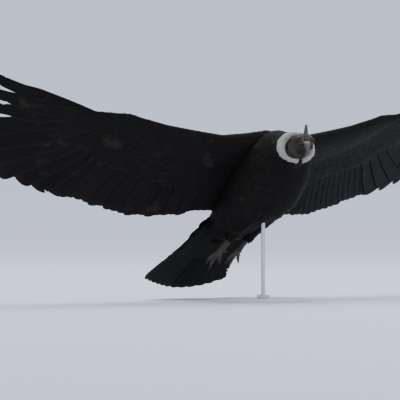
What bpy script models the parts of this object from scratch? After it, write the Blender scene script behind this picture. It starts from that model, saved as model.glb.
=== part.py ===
"""Adult male Andean condor, life size, soaring on a plain display stand.

The bird is modelled in its own frame, in metres: +X to its left, +Y to its tail, +Z to its back. An
empty tips the whole bird nose up over the stand. The origin is the middle of the stand's foot.
"""

import math
import random

import bmesh
import bpy
from mathutils import Matrix, Vector

GAP = 0.0003  # between touching nodes
NOSE_UP = math.radians(39.0)
BIRD_ORIGIN = Vector((0.0, -0.03, 0.475))  # the middle of the torso, above the foot's middle

# The wing's surface: stations along its span from the body's midline
SPAN_AT = (0.0, 0.12, 0.35, 0.62, 0.85, 1.15, 1.60)
DIHEDRAL_DEG = (9.0, 10.0, 11.0, 13.0, 13.0, 17.0, 40.0)
INCIDENCE_DEG = (14.0, 14.0, 14.0, 14.5, 14.5, 14.5, 14.5)
WING_ROOT = Vector((0.0, 0.0, 0.102))
CAMBER = 0.018  # drop of the surface 0.3 m before or behind its crest
CREST_AT = -0.12
CAMBER_REACH = 0.3
SPAN_STEP = 0.01
SPAN_END = 1.70

# The arm and hand: leading edge, rear edge and thickness at each station
ARM_AT = (0.04, 0.12, 0.22, 0.35, 0.48, 0.60, 0.66, 0.74, 0.83)
LEADING_EDGE = (0.172, 0.142, 0.114, 0.115, 0.117, 0.127, 0.135, 0.121, 0.109)
REAR_EDGE = (-0.12, -0.11, -0.10, -0.08, -0.055, -0.025, 0.0, 0.045, 0.095)
ARM_THICKNESS = (0.085, 0.078, 0.062, 0.052, 0.044, 0.038, 0.032, 0.024, 0.011)
REAR_THICKNESS = 0.006

SECONDARY_LENGTHS = (
    0.284, 0.290, 0.296, 0.304, 0.320, 0.340, 0.359, 0.376, 0.388,
    0.397, 0.402, 0.404, 0.405, 0.407, 0.411, 0.418, 0.428,
)
PRIMARY_LENGTHS = (0.438, 0.462, 0.488, 0.540, 0.600, 0.655, 0.695, 0.715, 0.700, 0.640)
SECONDARIES = len(SECONDARY_LENGTHS)
PRIMARIES = len(PRIMARY_LENGTHS)
FINGERS = 5  # the outer primaries, narrowed towards their tips
RECTRICES = 12

VANE_THICK = 0.0011
RACHIS = 0.0009  # how far a primary's shaft stands out of each of its faces
SHINGLE = 0.085  # slope across a vane, so that each lies clear over the next

SEED = 7

SIDEWAYS = Vector((1.0, 0.0, 0.0))
UPRIGHT = Vector((0.0, 0.0, 1.0))


def clear_scene():
    """Removes the startup objects."""
    for obj in list(bpy.data.objects):
        bpy.data.objects.remove(obj)


def curve_through(stations, values, at):
    """A smooth curve through (station, value) pairs, read at one place."""
    last = len(stations) - 1
    at = min(max(at, stations[0]), stations[last])
    index = max(i for i in range(last) if stations[i] <= at or i == 0)

    def slope(i):
        low, high = max(i - 1, 0), min(i + 1, last)
        return (values[high] - values[low]) / (stations[high] - stations[low])

    width = stations[index + 1] - stations[index]
    t = (at - stations[index]) / width
    start, end = values[index], values[index + 1]
    lean_out, lean_in = slope(index) * width, slope(index + 1) * width
    return (
        (2 * t**3 - 3 * t**2 + 1) * start
        + (t**3 - 2 * t**2 + t) * lean_out
        + (3 * t**2 - 2 * t**3) * end
        + (t**3 - t**2) * lean_in
    )


def wing_axis():
    """Points and dihedral angles along the left wing's span line, one each SPAN_STEP."""
    point, found = WING_ROOT.copy(), []
    for step in range(round(SPAN_END / SPAN_STEP) + 1):
        angle = math.radians(curve_through(SPAN_AT, DIHEDRAL_DEG, step * SPAN_STEP))
        found.append((point.copy(), angle))
        point += SPAN_STEP * Vector((math.cos(angle), 0.0, math.sin(angle)))
    return found


WING_AXIS = wing_axis()


def wing_surface(span, forward, height):
    """A point of the left wing: along its span, ahead of the span line, and above its surface."""
    step = min(max(span / SPAN_STEP, 0.0), len(WING_AXIS) - 1.001)
    low = int(step)
    share = step - low
    (start, angle_in), (end, angle_out) = WING_AXIS[low], WING_AXIS[low + 1]
    angle = angle_in + (angle_out - angle_in) * share
    incidence = math.radians(curve_through(SPAN_AT, INCIDENCE_DEG, span))
    up = Vector((-math.sin(angle), 0.0, math.cos(angle)))
    ahead = Vector((0.0, -1.0, 0.0))
    chord = ahead * math.cos(incidence) + up * math.sin(incidence)
    normal = up * math.cos(incidence) - ahead * math.sin(incidence)
    drop = CAMBER * ((forward - CREST_AT) / CAMBER_REACH) ** 2
    return start.lerp(end, share) + chord * forward + normal * (height - drop)


def mesh_object(name, bm):
    """A linked object from a bmesh whose faces point out."""
    bmesh.ops.recalc_face_normals(bm, faces=bm.faces)
    mesh = bpy.data.meshes.new(name)
    bm.to_mesh(mesh)
    bm.free()
    obj = bpy.data.objects.new(name, mesh)
    bpy.context.scene.collection.objects.link(obj)
    return obj


def loft(name, rings):
    """A closed solid over rings of equally many points."""
    bm = bmesh.new()
    rows = [[bm.verts.new(p) for p in ring] for ring in rings]
    for row, following in zip(rows, rows[1:]):
        for k in range(len(row)):
            n = (k + 1) % len(row)
            bm.faces.new((row[k], row[n], following[n], following[k]))
    bm.faces.new(rows[0])
    bm.faces.new(rows[-1])
    return mesh_object(name, bm)


def oval_ring(centre, side, up, half_width, top, bottom, count, power=2.0):
    """Points of an oval about centre, as high as top above it and as deep as bottom below it."""
    points = []
    for k in range(count):
        angle = 2 * math.pi * k / count
        c, s = math.cos(angle), math.sin(angle)
        across = half_width * math.copysign(abs(c) ** (2 / power), c)
        rise = (top if s > 0 else bottom) * math.copysign(abs(s) ** (2 / power), s)
        points.append(centre + side * across + up * rise)
    return points


def vane(surface, root, angle, length, shape, heights, half_widths, ridge=0.0, roll=SHINGLE):
    """One feather blade: a thin plate on a surface, split into triangles alike on both faces.

    root is its quill's place on the surface and angle its direction, outward from straight back.
    shape lists (share of the length, share of the width), heights the quill's height at root and
    tip, and half_widths the blade's reach on its inner and outer side. ridge is how far its shaft
    stands out, and roll its slope across.
    """
    bm = bmesh.new()
    sin, cos = math.sin(angle), math.cos(angle)
    inner, outer = half_widths
    columns = (-1, 0, 1) if ridge else (-1, 1)
    rows = []
    for along, wide in shape:
        height = heights[0] + (heights[1] - heights[0]) * along
        faces = []
        for side in (1, -1):
            row = []
            for column in columns:
                across = column * wide * (outer if column > 0 else inner)
                span = root[0] + sin * along * length + cos * across
                forward = root[1] - cos * along * length + sin * across
                shaft = ridge * (1 - 0.7 * along) if column == 0 else 0.0
                level = height + roll * across + side * (VANE_THICK / 2 + shaft)
                row.append(bm.verts.new(surface(span, forward, level)))
            faces.append(row)
        rows.append(faces)
    last = len(columns) - 1
    for (top, bottom), (next_top, next_bottom) in zip(rows, rows[1:]):
        for k in range(last):
            for near, far in ((top, next_top), (bottom, next_bottom)):
                bm.faces.new((near[k], near[k + 1], far[k + 1]))
                bm.faces.new((near[k], far[k + 1], far[k]))
        for k in (0, last):
            bm.faces.new((top[k], bottom[k], next_bottom[k], next_top[k]))
    for top, bottom in (rows[0], rows[-1]):
        bm.faces.new(top + bottom[::-1])
    return mesh_object("vane", bm)


def apply_boolean(obj, operation, others, solver="MANIFOLD"):
    """Applies one Boolean of a collection of closed meshes to obj, then removes them."""
    collection = bpy.data.collections.new("pieces")
    for other in others:
        collection.objects.link(other)
    modifier = obj.modifiers.new(operation.lower(), "BOOLEAN")
    modifier.operation = operation
    modifier.operand_type = "COLLECTION"
    modifier.collection = collection
    modifier.solver = solver
    graph = bpy.context.evaluated_depsgraph_get()
    mesh = bpy.data.meshes.new_from_object(obj.evaluated_get(graph))
    obj.modifiers.clear()
    obj.data = mesh
    for other in others:
        bpy.data.objects.remove(other)
    bpy.data.collections.remove(collection)


def keep_largest(obj):
    """Keeps only the largest closed surface of a mesh."""
    bm = bmesh.new()
    bm.from_mesh(obj.data)
    bm.verts.ensure_lookup_table()
    seen, best = set(), []
    for start in bm.verts:
        if start in seen:
            continue
        shell, front = [], [start]
        seen.add(start)
        while front:
            vert = front.pop()
            shell.append(vert)
            for edge in vert.link_edges:
                other = edge.other_vert(vert)
                if other not in seen:
                    seen.add(other)
                    front.append(other)
        if len(shell) > len(best):
            best = shell
    kept = set(best)
    bmesh.ops.delete(bm, geom=[v for v in bm.verts if v not in kept], context="VERTS")
    bm.to_mesh(obj.data)
    bm.free()


def grown_copy(obj, by):
    """A copy of obj, moved out along its normals. Both are split into the same triangles."""
    bm = bmesh.new()
    bm.from_mesh(obj.data)
    bmesh.ops.triangulate(bm, faces=bm.faces)
    bm.to_mesh(obj.data)
    bm.normal_update()
    moves = [(v, v.normal * by * v.calc_shell_factor()) for v in bm.verts]
    for vert, move in moves:
        vert.co += move
    return mesh_object(obj.name + "_grown", bm)


def cut_clear(obj, *others):
    """Cuts obj back from its neighbours, which leaves GAP between them."""
    for other in others:
        apply_boolean(obj, "DIFFERENCE", [grown_copy(other, GAP)])
    keep_largest(obj)


def fuse(obj, pieces):
    """Joins pieces to obj as one closed body."""
    apply_boolean(obj, "UNION", pieces)
    keep_largest(obj)


def mirrored(obj, name):
    """The same solid on the bird's other side."""
    bm = bmesh.new()
    bm.from_mesh(obj.data)
    for vert in bm.verts:
        vert.co.x = -vert.co.x
    bmesh.ops.reverse_faces(bm, faces=bm.faces)
    mesh = bpy.data.meshes.new(name)
    bm.to_mesh(mesh)
    bm.free()
    other = bpy.data.objects.new(name, mesh)
    bpy.context.scene.collection.objects.link(other)
    return other


# Torso: distance behind the middle, height of the axis, half width, rise above and depth below it
TORSO_RINGS = (
    (-0.235, -0.012, 0.044, 0.044, 0.042),
    (-0.215, -0.010, 0.070, 0.088, 0.062),
    (-0.17, -0.004, 0.100, 0.138, 0.088),
    (-0.10, 0.000, 0.124, 0.157, 0.118),
    (-0.02, 0.000, 0.134, 0.150, 0.134),
    (0.06, 0.004, 0.132, 0.130, 0.130),
    (0.14, 0.012, 0.126, 0.104, 0.112),
    (0.22, 0.022, 0.118, 0.076, 0.096),
    (0.29, 0.030, 0.107, 0.052, 0.080),
    (0.34, 0.036, 0.088, 0.036, 0.058),
    (0.37, 0.040, 0.056, 0.022, 0.030),
)
TORSO_SIDES = 20


def torso():
    """The feathered trunk, from the collar to the rump."""
    rings = [
        oval_ring(Vector((0, y, z)), SIDEWAYS, UPRIGHT, width, top, bottom, TORSO_SIDES, 2.2)
        for y, z, width, top, bottom in TORSO_RINGS
    ]
    return loft("torso", rings)


# Wing
SECTION_POINTS = 7  # along each face of the arm's section


def arm_core():
    """The arm and hand, thick at the leading edge and thin at the rear."""
    rings = []
    for at, lead, rear, thick in zip(ARM_AT, LEADING_EDGE, REAR_EDGE, ARM_THICKNESS):
        upper, lower = [], []
        for k in range(SECTION_POINTS + 1):
            u = (k / SECTION_POINTS) ** 1.6
            half = 5 * thick * (
                0.2969 * math.sqrt(u) - 0.126 * u - 0.3516 * u**2 + 0.2843 * u**3 - 0.1036 * u**4
            )
            half = max(half, REAR_THICKNESS / 2) if k else 0.0
            forward = lead + (rear - lead) * u
            upper.append(wing_surface(at, forward, half))
            if k:
                lower.append(wing_surface(at, forward, -half))
        rings.append(upper + lower[::-1])
    return loft("arm", rings)


FLIGHT_SHAPE = ((0.0, 0.35), (0.2, 0.9), (0.6, 1.05), (0.95, 0.95), (1.0, 0.5))
FINGER_SHAPE = ((0.0, 0.35), (0.18, 0.85), (0.46, 1.05), (0.56, 0.72), (0.93, 0.60), (1.0, 0.2))
# How far a blade reaches from its shaft, on its inner and outer side
SECONDARY_REACH = (0.044, 0.026)
PRIMARY_REACH = (0.050, 0.022)
COVERT_REACH = (0.030, 0.022)
COVERT_SHAPE = ((0.0, 0.6), (0.75, 1.0), (1.0, 0.35))


def flight_feathers():
    """(root, angle, length) of each flight feather, from the body to the wing's tip."""
    found = []
    for k, length in enumerate(SECONDARY_LENGTHS):
        t = k / (SECONDARIES - 1)
        angle = math.radians(-8.0 + 31.0 * t**1.3)
        found.append(((0.105 + 0.515 * t, 0.03 + 0.06 * t), angle, length))
    for k, length in enumerate(PRIMARY_LENGTHS):
        t = k / (PRIMARIES - 1)
        angle = math.radians(26.5 + 71.0 * t)
        found.append(((0.645 + 0.155 * t, 0.092 + 0.014 * t), angle, length))
    return found


def flight_vanes():
    """Secondaries and primaries as blades."""
    vanes = []
    feathers = flight_feathers()
    for k, (root, angle, length) in enumerate(feathers):
        finger = k >= len(feathers) - FINGERS
        outward = max(0, k - SECONDARIES + 1)
        shape = FINGER_SHAPE if finger else FLIGHT_SHAPE
        widths = PRIMARY_REACH if outward else SECONDARY_REACH
        heights = (0.004 - 0.0009 * outward, 0.0)
        ridge = RACHIS if outward else 0.0
        vanes.append(vane(wing_surface, root, angle, length, shape, heights, widths, ridge))
    return vanes


def covert_vanes():
    """Greater coverts over and under the flight feathers' bases, one tier on each face."""
    vanes = []
    for face in (1, -1):
        for k, (root, angle, length) in enumerate(flight_feathers()[:-1]):
            outward = max(0, k - SECONDARIES + 1)
            reach = 0.42 if outward else 0.52
            start = (root[0] + 0.012, root[1] - 0.006)
            heights = (face * (0.0085 - 0.0003 * outward) - 0.0005 * outward, face * 0.0062)
            vanes.append(
                vane(wing_surface, start, angle, length * reach, COVERT_SHAPE, heights, COVERT_REACH)
            )
    return vanes


def wing():
    """The left wing: arm and hand with their feathers in tiers, one closed body."""
    core = arm_core()
    fuse(core, flight_vanes() + covert_vanes())
    core.name = "left_wing"
    return core


# Tail
TAIL_ROOT = Vector((-0.018, 0.315, 0.043))
TAIL_DROOP = math.radians(7.0)
TAIL_TURN = math.radians(12.5)
TAIL_FAN = math.radians(20.0)
TAIL_LENGTH = 0.372
TAIL_UNEVEN = 0.05  # the left side lies this share further in
TAIL_SAG = 0.35
TAIL_SLOPE = 0.06  # across each blade, away from the middle one
RECTRIX_REACH = 0.030
# The tail's fleshy base: distance behind its root, half width, half height
TAIL_BASE = (
    (-0.05, 0.040, 0.014),
    (-0.03, 0.070, 0.026),
    (0.02, 0.084, 0.028),
    (0.07, 0.078, 0.018),
    (0.10, 0.064, 0.007),
)
TAIL_COVERTS = 7  # on each face
TAIL_COVERT_LENGTH = 0.19
TAIL_COVERT_REACH = 0.032


def tail_surface(across, ahead, height):
    """A point of the tail's sheet, which curves down at its sides."""
    sag = TAIL_SAG * across**2
    matrix = Matrix.Rotation(TAIL_TURN, 3, "Z") @ Matrix.Rotation(-TAIL_DROOP, 3, "X")
    return TAIL_ROOT + matrix @ Vector((across, -ahead, height - sag))


def tail():
    """The tail: twelve broad feathers fanned from the rump, with coverts over and under them."""
    rings = []
    for y, half, rise in TAIL_BASE:
        ring = oval_ring(Vector((0, y, 0)), SIDEWAYS, UPRIGHT, half, rise, rise, 16, 2.4)
        rings.append([tail_surface(p.x, -p.y, p.z) for p in ring])
    core = loft("tail", rings)
    vanes = []
    middle = (RECTRICES - 1) / 2
    for k in range(RECTRICES):
        place = (k - middle) / middle
        level = 0.0024 * (middle - abs(k - middle)) - 0.006
        slope = -math.copysign(TAIL_SLOPE, place)
        length = TAIL_LENGTH * (1 - 0.05 * abs(place) - TAIL_UNEVEN * max(0.0, place))
        reach = (RECTRIX_REACH, RECTRIX_REACH)
        root = (0.064 * place, -0.01)
        angle = TAIL_FAN * place
        vanes.append(
            vane(tail_surface, root, angle, length, FLIGHT_SHAPE, (level, level), reach, roll=slope)
        )
    middle = (TAIL_COVERTS - 1) / 2
    for face in (1, -1):
        for k in range(TAIL_COVERTS):
            place = (k - middle) / middle
            level = face * 0.0125 + 0.0016 * (middle - abs(k - middle)) - 0.003
            slope = -math.copysign(TAIL_SLOPE, place) if place else 0.0
            reach = (TAIL_COVERT_REACH, TAIL_COVERT_REACH)
            root = (0.048 * place, 0.0)
            angle = 0.9 * TAIL_FAN * place
            vanes.append(
                vane(
                    tail_surface, root, angle, TAIL_COVERT_LENGTH, COVERT_SHAPE,
                    (level, level), reach, roll=slope,
                )
            )
    fuse(core, vanes)
    return core


# Head: distance behind the middle, height of the axis, half width, rise above and depth below it
HEAD_AT = Vector((-0.0283, -0.3174, -0.0469))
HEAD_TURN = math.radians(-39.8)  # to the bird's right
HEAD_DROP = math.radians(34.1)
HEAD_ROLL = math.radians(26.7)
HEAD_SCALE = 1.07  # of the sizes below, to a large male
HEAD_RINGS = (
    (0.040, 0.000, 0.0300, 0.0300, 0.0360),
    (0.025, 0.001, 0.0335, 0.0335, 0.0380),
    (0.008, 0.002, 0.0345, 0.0345, 0.0370),
    (-0.010, 0.001, 0.0330, 0.0335, 0.0345),
    (-0.024, 0.000, 0.0300, 0.0300, 0.0305),
    (-0.036, -0.003, 0.0255, 0.0250, 0.0265),
    (-0.048, -0.005, 0.0195, 0.0195, 0.0210),
    (-0.057, -0.006, 0.0160, 0.0165, 0.0175),
    (-0.063, -0.006, 0.0140, 0.0145, 0.0150),
)
HEAD_SIDES = 18
EYE_RADIUS = 0.0085
EYE_AT = Vector((0.0245, -0.0215, 0.0115))
LID_RADIUS = 0.0114
LID_TURN = math.radians(20.0)
LID_TILT = math.radians(78.0)
OPENING_OUT = 0.0085
OPENING_SCALE = (1.0, 1.05, 0.68, 1.0)
OPENING_RADIUS = 0.0078
BALL_SIDES = (12, 7)

# Bill: stations along its curved axis, (ahead of the head's middle, height), then half width,
# rise above and depth below the axis
UPPER_BILL = (
    ((-0.0580, 0.0000), 0.0150, 0.0120, 0.0070),
    ((-0.0700, 0.0000), 0.0138, 0.0118, 0.0070),
    ((-0.0840, 0.0000), 0.0126, 0.0115, 0.0070),
    ((-0.0980, -0.0010), 0.0112, 0.0118, 0.0075),
    ((-0.1090, -0.0060), 0.0092, 0.0115, 0.0075),
    ((-0.1160, -0.0140), 0.0066, 0.0080, 0.0060),
    ((-0.1185, -0.0230), 0.0040, 0.0045, 0.0040),
    ((-0.1180, -0.0300), 0.0014, 0.0016, 0.0016),
)
LOWER_BILL = (
    ((-0.0580, -0.0110), 0.0135, 0.0070, 0.0075),
    ((-0.0740, -0.0115), 0.0120, 0.0070, 0.0070),
    ((-0.0900, -0.0120), 0.0100, 0.0065, 0.0062),
    ((-0.1010, -0.0115), 0.0072, 0.0050, 0.0048),
    ((-0.1070, -0.0105), 0.0036, 0.0025, 0.0026),
)
BILL_SIDES = 12
NOSTRIL_AT = Vector((0.0, -0.0735, 0.0045))
NOSTRIL_REACH = (0.0600, 0.0052, 0.0024)  # through the bill, along it and up

# Comb: distance behind the middle, height of its foot, height of its crest, half thickness
COMB_RINGS = (
    (0.018, 0.026, 0.0370, 0.0030),
    (0.006, 0.027, 0.0530, 0.0042),
    (-0.010, 0.026, 0.0660, 0.0050),
    (-0.028, 0.020, 0.0710, 0.0052),
    (-0.046, 0.012, 0.0660, 0.0054),
    (-0.062, 0.007, 0.0520, 0.0056),
    (-0.074, 0.006, 0.0330, 0.0050),
    (-0.082, 0.006, 0.0170, 0.0030),
)
COMB_SIDES = 10
COMB_SUNK = 0.010

# The fold under the throat: distance behind the middle, height of its axis, half width, drop
WATTLE_RINGS = (
    (-0.048, -0.020, 0.0040, 0.0060),
    (-0.038, -0.024, 0.0065, 0.0140),
    (-0.022, -0.028, 0.0080, 0.0210),
    (-0.006, -0.030, 0.0085, 0.0225),
    (0.010, -0.031, 0.0080, 0.0185),
    (0.022, -0.031, 0.0060, 0.0125),
)
WATTLE_SIDES = 10
WATTLE_SUNK = 0.010

# Neck: from the trunk's front to the back of the head, with folds round it
NECK_START = Vector((-0.005, -0.225, -0.010))
NECK_START_LEAN = Vector((0.0, -0.07, -0.02))
NECK_END = Vector((0.0, 0.030, -0.002))  # in the head's own frame
NECK_RADIUS = 0.050
NECK_TAPER = 0.013
NECK_FOLD = 0.0022
NECK_RINGS = 9
NECK_SIDES = 18

RUFF_AT = Vector((-0.006, -0.243, -0.016))
RUFF_AXIS = Vector((-0.16, -0.93, -0.33))
RUFF_INNER = 0.042
RUFF_CORE_OUT = 0.058  # of the core's middle from the axis
RUFF_CORE_HALF = (0.010, 0.012)  # outward and ahead
RUFF_CORE_STEPS = 16
RUFF_CORE_SIDES = 6
RUFF_FLAT = 0.14  # less reach above and below than at the sides
RUFF_TUCK = 0.07  # less reach on the left, where the neck bends
RUFF_LOCKS = 22
RUFF_GAP = math.radians(14.0)  # left open on each side of the throat
RUFF_SWAY = 0.06
RUFF_LEAN = 0.22  # slope across a lock, so that it lies over the next
# A lock from root to tip: out from the axis, ahead of the ring, half width; and which way it faces
LOCK_PATH = (
    (0.0540, 0.0020, 0.0070),
    (0.0580, 0.0190, 0.0110),
    (0.0720, 0.0230, 0.0130),
    (0.0850, 0.0100, 0.0125),
    (0.0905, -0.0090, 0.0050),
)
LOCK_NORMAL = ((-0.9, 0.4), (-0.6, 0.8), (0.35, 0.94), (0.9, 0.43), (1.0, 0.1))
LOCK_THICK = 0.0012

# Feet: the ankle, the sole and the toes' places for the left side
ANKLE = Vector((0.046, 0.262, -0.056))
SOLE = Vector((0.044, 0.362, -0.051))
TARSUS_RADIUS = 0.0125
SHANK_PLACES = (-0.03, 0.2, 0.5, 0.8, 1.0, 1.1)  # from the ankle to the sole
SHANK_GIRTH = (1.25, 1.05, 0.95, 1.0, 1.25, 0.8)
TOES = (  # yaw outward in degrees, length, radius
    (26.0, 0.088, 0.0090),
    (3.0, 0.112, 0.0098),
    (-19.0, 0.084, 0.0090),
)
TOE_PLACES = (-0.06, 0.12, 0.32, 0.50, 0.68, 0.84, 0.93, 1.0)
TOE_GIRTH = (1.0, 1.0, 0.84, 0.94, 0.80, 0.62, 0.42, 0.12)
HIND_TOE = Vector((-0.010, -0.012, -0.030))
HIND_TOE_RADIUS = 0.0065
HIND_TOE_PLACES = (-0.2, 0.2, 0.5, 0.75, 1.0)
HIND_TOE_GIRTH = (1.0, 1.0, 0.85, 0.5, 0.14)
THIGH_RINGS = (  # distance behind the middle, sideways, height, half width, half height
    (0.040, 0.042, -0.072, 0.020, 0.018),
    (0.080, 0.045, -0.072, 0.034, 0.028),
    (0.125, 0.046, -0.069, 0.036, 0.031),
    (0.175, 0.044, -0.064, 0.031, 0.028),
    (0.225, 0.045, -0.058, 0.027, 0.024),
    (0.270, 0.046, -0.056, 0.0210, 0.0195),
)

# Stand
BASE_RADIUS = 0.20
BASE_THICK = 0.012
BASE_EDGE = 0.002
ROD_RADIUS = 0.008
COLLAR_RADIUS = 0.024
COLLAR_HEIGHT = 0.014
TURNED_STEPS = 24

# Colour, roughness and metallic value of each finish, and the parts that have it
FINISHES = {
    "dark_plumage": ((0.018, 0.018, 0.020), 0.62, 0.0),
    "flight_feathers": ((0.022, 0.022, 0.024), 0.55, 0.0),
    "ruff_down": ((0.78, 0.76, 0.70), 0.90, 0.0),
    "bare_skin": ((0.10, 0.075, 0.068), 0.60, 0.0),
    "comb_skin": ((0.16, 0.12, 0.12), 0.62, 0.0),
    "bill_horn": ((0.60, 0.52, 0.44), 0.38, 0.0),
    "eye": ((0.12, 0.05, 0.02), 0.08, 0.0),
    "leg_skin": ((0.36, 0.33, 0.29), 0.60, 0.0),
    "stand_paint": ((0.62, 0.62, 0.61), 0.45, 0.0),
    "stand_steel": ((0.56, 0.57, 0.58), 0.35, 1.0),
}
FINISH_OF = {
    "torso": "dark_plumage",
    "left_thigh": "dark_plumage",
    "right_thigh": "dark_plumage",
    "left_wing": "flight_feathers",
    "right_wing": "flight_feathers",
    "tail": "flight_feathers",
    "ruff": "ruff_down",
    "neck": "bare_skin",
    "head": "bare_skin",
    "wattle": "bare_skin",
    "comb": "comb_skin",
    "upper_bill": "bill_horn",
    "lower_bill": "bill_horn",
    "left_eye": "eye",
    "right_eye": "eye",
    "left_foot": "leg_skin",
    "right_foot": "leg_skin",
    "stand_base": "stand_paint",
    "stand_collar": "stand_steel",
    "stand_rod": "stand_steel",
}


def bird_matrix():
    """From the bird's own frame to the stand's."""
    return Matrix.Translation(BIRD_ORIGIN) @ Matrix.Rotation(-NOSE_UP, 4, "X")


def head_matrix():
    """From the head's own frame to the bird's."""
    turn = Matrix.Rotation(HEAD_TURN, 4, "Z")
    drop = Matrix.Rotation(HEAD_DROP, 4, "X")
    roll = Matrix.Rotation(HEAD_ROLL, 4, "Y")
    return Matrix.Translation(HEAD_AT) @ turn @ drop @ roll @ Matrix.Scale(HEAD_SCALE, 4)


def placed(obj, matrix):
    """Moves a mesh's points by a matrix."""
    obj.data.transform(matrix)
    return obj


def ball(name, matrix, radius):
    """A round ball, placed by a matrix."""
    bm = bmesh.new()
    bmesh.ops.create_uvsphere(
        bm, u_segments=BALL_SIDES[0], v_segments=BALL_SIDES[1], radius=radius, matrix=matrix
    )
    return mesh_object(name, bm)


def cylinder(name, matrix, radius, depth, sides):
    """A capped cylinder, placed by a matrix."""
    bm = bmesh.new()
    bmesh.ops.create_cone(
        bm, cap_ends=True, segments=sides, radius1=radius, radius2=radius, depth=depth, matrix=matrix
    )
    return mesh_object(name, bm)


def eye_place(sign):
    """The middle of the left (1) or right (-1) eye, in the head's own frame."""
    return Vector((sign * EYE_AT.x, EYE_AT.y, EYE_AT.z))


def head():
    """The skull under its bare skin, with raised lids round each eye's socket."""
    rings = [
        oval_ring(Vector((0, y, z)), SIDEWAYS, UPRIGHT, width, top, bottom, HEAD_SIDES, 2.1)
        for y, z, width, top, bottom in HEAD_RINGS
    ]
    skull = loft("head", rings)
    lids, openings = [], []
    for sign in (1, -1):
        place = Matrix.Translation(eye_place(sign))
        look = Matrix.Rotation(-sign * LID_TURN, 4, "Z") @ Matrix.Rotation(sign * LID_TILT, 4, "Y")
        lids.append(ball("lid", place @ look, LID_RADIUS))
        opening = Matrix.Translation((sign * OPENING_OUT, 0, 0)) @ Matrix.Diagonal(OPENING_SCALE)
        openings.append(ball("opening", place @ opening, OPENING_RADIUS))
    fuse(skull, lids)
    apply_boolean(skull, "DIFFERENCE", openings)
    return placed(skull, head_matrix())


def eye(sign):
    """One eyeball, set in its socket."""
    name = "left_eye" if sign > 0 else "right_eye"
    return ball(name, head_matrix() @ Matrix.Translation(eye_place(sign)), EYE_RADIUS)


def bill(name, stations):
    """One half of the bill: ovals square to its curved axis."""
    rings = []
    places = [Vector((0, y, z)) for (y, z), *_ in stations]
    for k, (_, width, top, bottom) in enumerate(stations):
        along = places[min(k + 1, len(places) - 1)] - places[max(k - 1, 0)]
        up = along.cross(SIDEWAYS).normalized()
        rings.append(oval_ring(places[k], SIDEWAYS, up, width, top, bottom, BILL_SIDES, 2.2))
    return loft(name, rings)


def upper_bill():
    """The hooked upper half, with the nostrils cut through under the comb."""
    beak = bill("upper_bill", UPPER_BILL)
    depth, long, deep = NOSTRIL_REACH
    matrix = Matrix.Translation(NOSTRIL_AT) @ Matrix.Rotation(math.pi / 2, 4, "Y")
    cutter = cylinder("nostril", matrix @ Matrix.Diagonal((deep, long, 1, 1)), 1, depth, 10)
    apply_boolean(beak, "DIFFERENCE", [cutter])
    return placed(beak, head_matrix())


def comb():
    """The fleshy comb, a thin tall crest from the crown to the bill."""
    rings = [
        oval_ring(
            Vector((0, y, foot)), SIDEWAYS, UPRIGHT, half, crest - foot, COMB_SUNK, COMB_SIDES, 1.7
        )
        for y, foot, crest, half in COMB_RINGS
    ]
    return placed(loft("comb", rings), head_matrix())


def wattle():
    """The loose fold of skin under the throat."""
    rings = [
        oval_ring(
            Vector((0, y, z)), SIDEWAYS, UPRIGHT, half, WATTLE_SUNK, drop, WATTLE_SIDES, 1.8
        )
        for y, z, half, drop in WATTLE_RINGS
    ]
    return placed(loft("wattle", rings), head_matrix())


def ring_across(place, along, radius, sides):
    """A round ring about place, square to along."""
    side = along.cross(UPRIGHT).normalized()
    up = side.cross(along).normalized()
    return oval_ring(place, side, up, radius, radius, radius, sides)


def neck():
    """The bare neck, its skin in folds, from the trunk to the head."""
    matrix = head_matrix()
    end = matrix @ NECK_END
    lean_end = end - matrix @ (NECK_END + Vector((0, 0.07, 0)))
    rings = []
    for k in range(NECK_RINGS):
        t = k / (NECK_RINGS - 1)
        place = (
            (2 * t**3 - 3 * t**2 + 1) * NECK_START
            + (t**3 - 2 * t**2 + t) * NECK_START_LEAN
            + (3 * t**2 - 2 * t**3) * end
            + (t**3 - t**2) * lean_end
        )
        along = (
            (6 * t**2 - 6 * t) * (NECK_START - end)
            + (3 * t**2 - 4 * t + 1) * NECK_START_LEAN
            + (3 * t**2 - 2 * t) * lean_end
        )
        radius = NECK_RADIUS - NECK_TAPER * t + (NECK_FOLD if k % 2 else 0.0)
        rings.append(ring_across(place, along, radius, NECK_SIDES))
    return loft("neck", rings)


def ruff_point(turn, out, ahead):
    """A point of the ruff: turn is measured round the neck from the throat."""
    axis = RUFF_AXIS.normalized()
    left = UPRIGHT.cross(axis).normalized()
    up = axis.cross(left).normalized()
    if up.z < 0:
        up = -up
    reach = out * (1 - RUFF_FLAT * math.cos(turn) ** 2 - RUFF_TUCK * max(0.0, math.sin(turn)))
    return RUFF_AT + (left * math.sin(turn) - up * math.cos(turn)) * reach + axis * ahead


def ruff_core():
    """The rounded band that the locks grow from, open at the throat."""
    arc = 2 * (math.pi - RUFF_GAP)
    reach_out, reach_ahead = RUFF_CORE_HALF
    rings = []
    for k in range(RUFF_CORE_STEPS + 1):
        small = 0.6 if k in (0, RUFF_CORE_STEPS) else 1.0
        ring = []
        for j in range(RUFF_CORE_SIDES):
            angle = 2 * math.pi * j / RUFF_CORE_SIDES
            out = RUFF_CORE_OUT + reach_out * small * math.cos(angle)
            ahead = reach_ahead * small * math.sin(angle)
            ring.append(ruff_point(RUFF_GAP + arc * k / RUFF_CORE_STEPS, out, ahead))
        rings.append(ring)
    return loft("ruff", rings)


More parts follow.
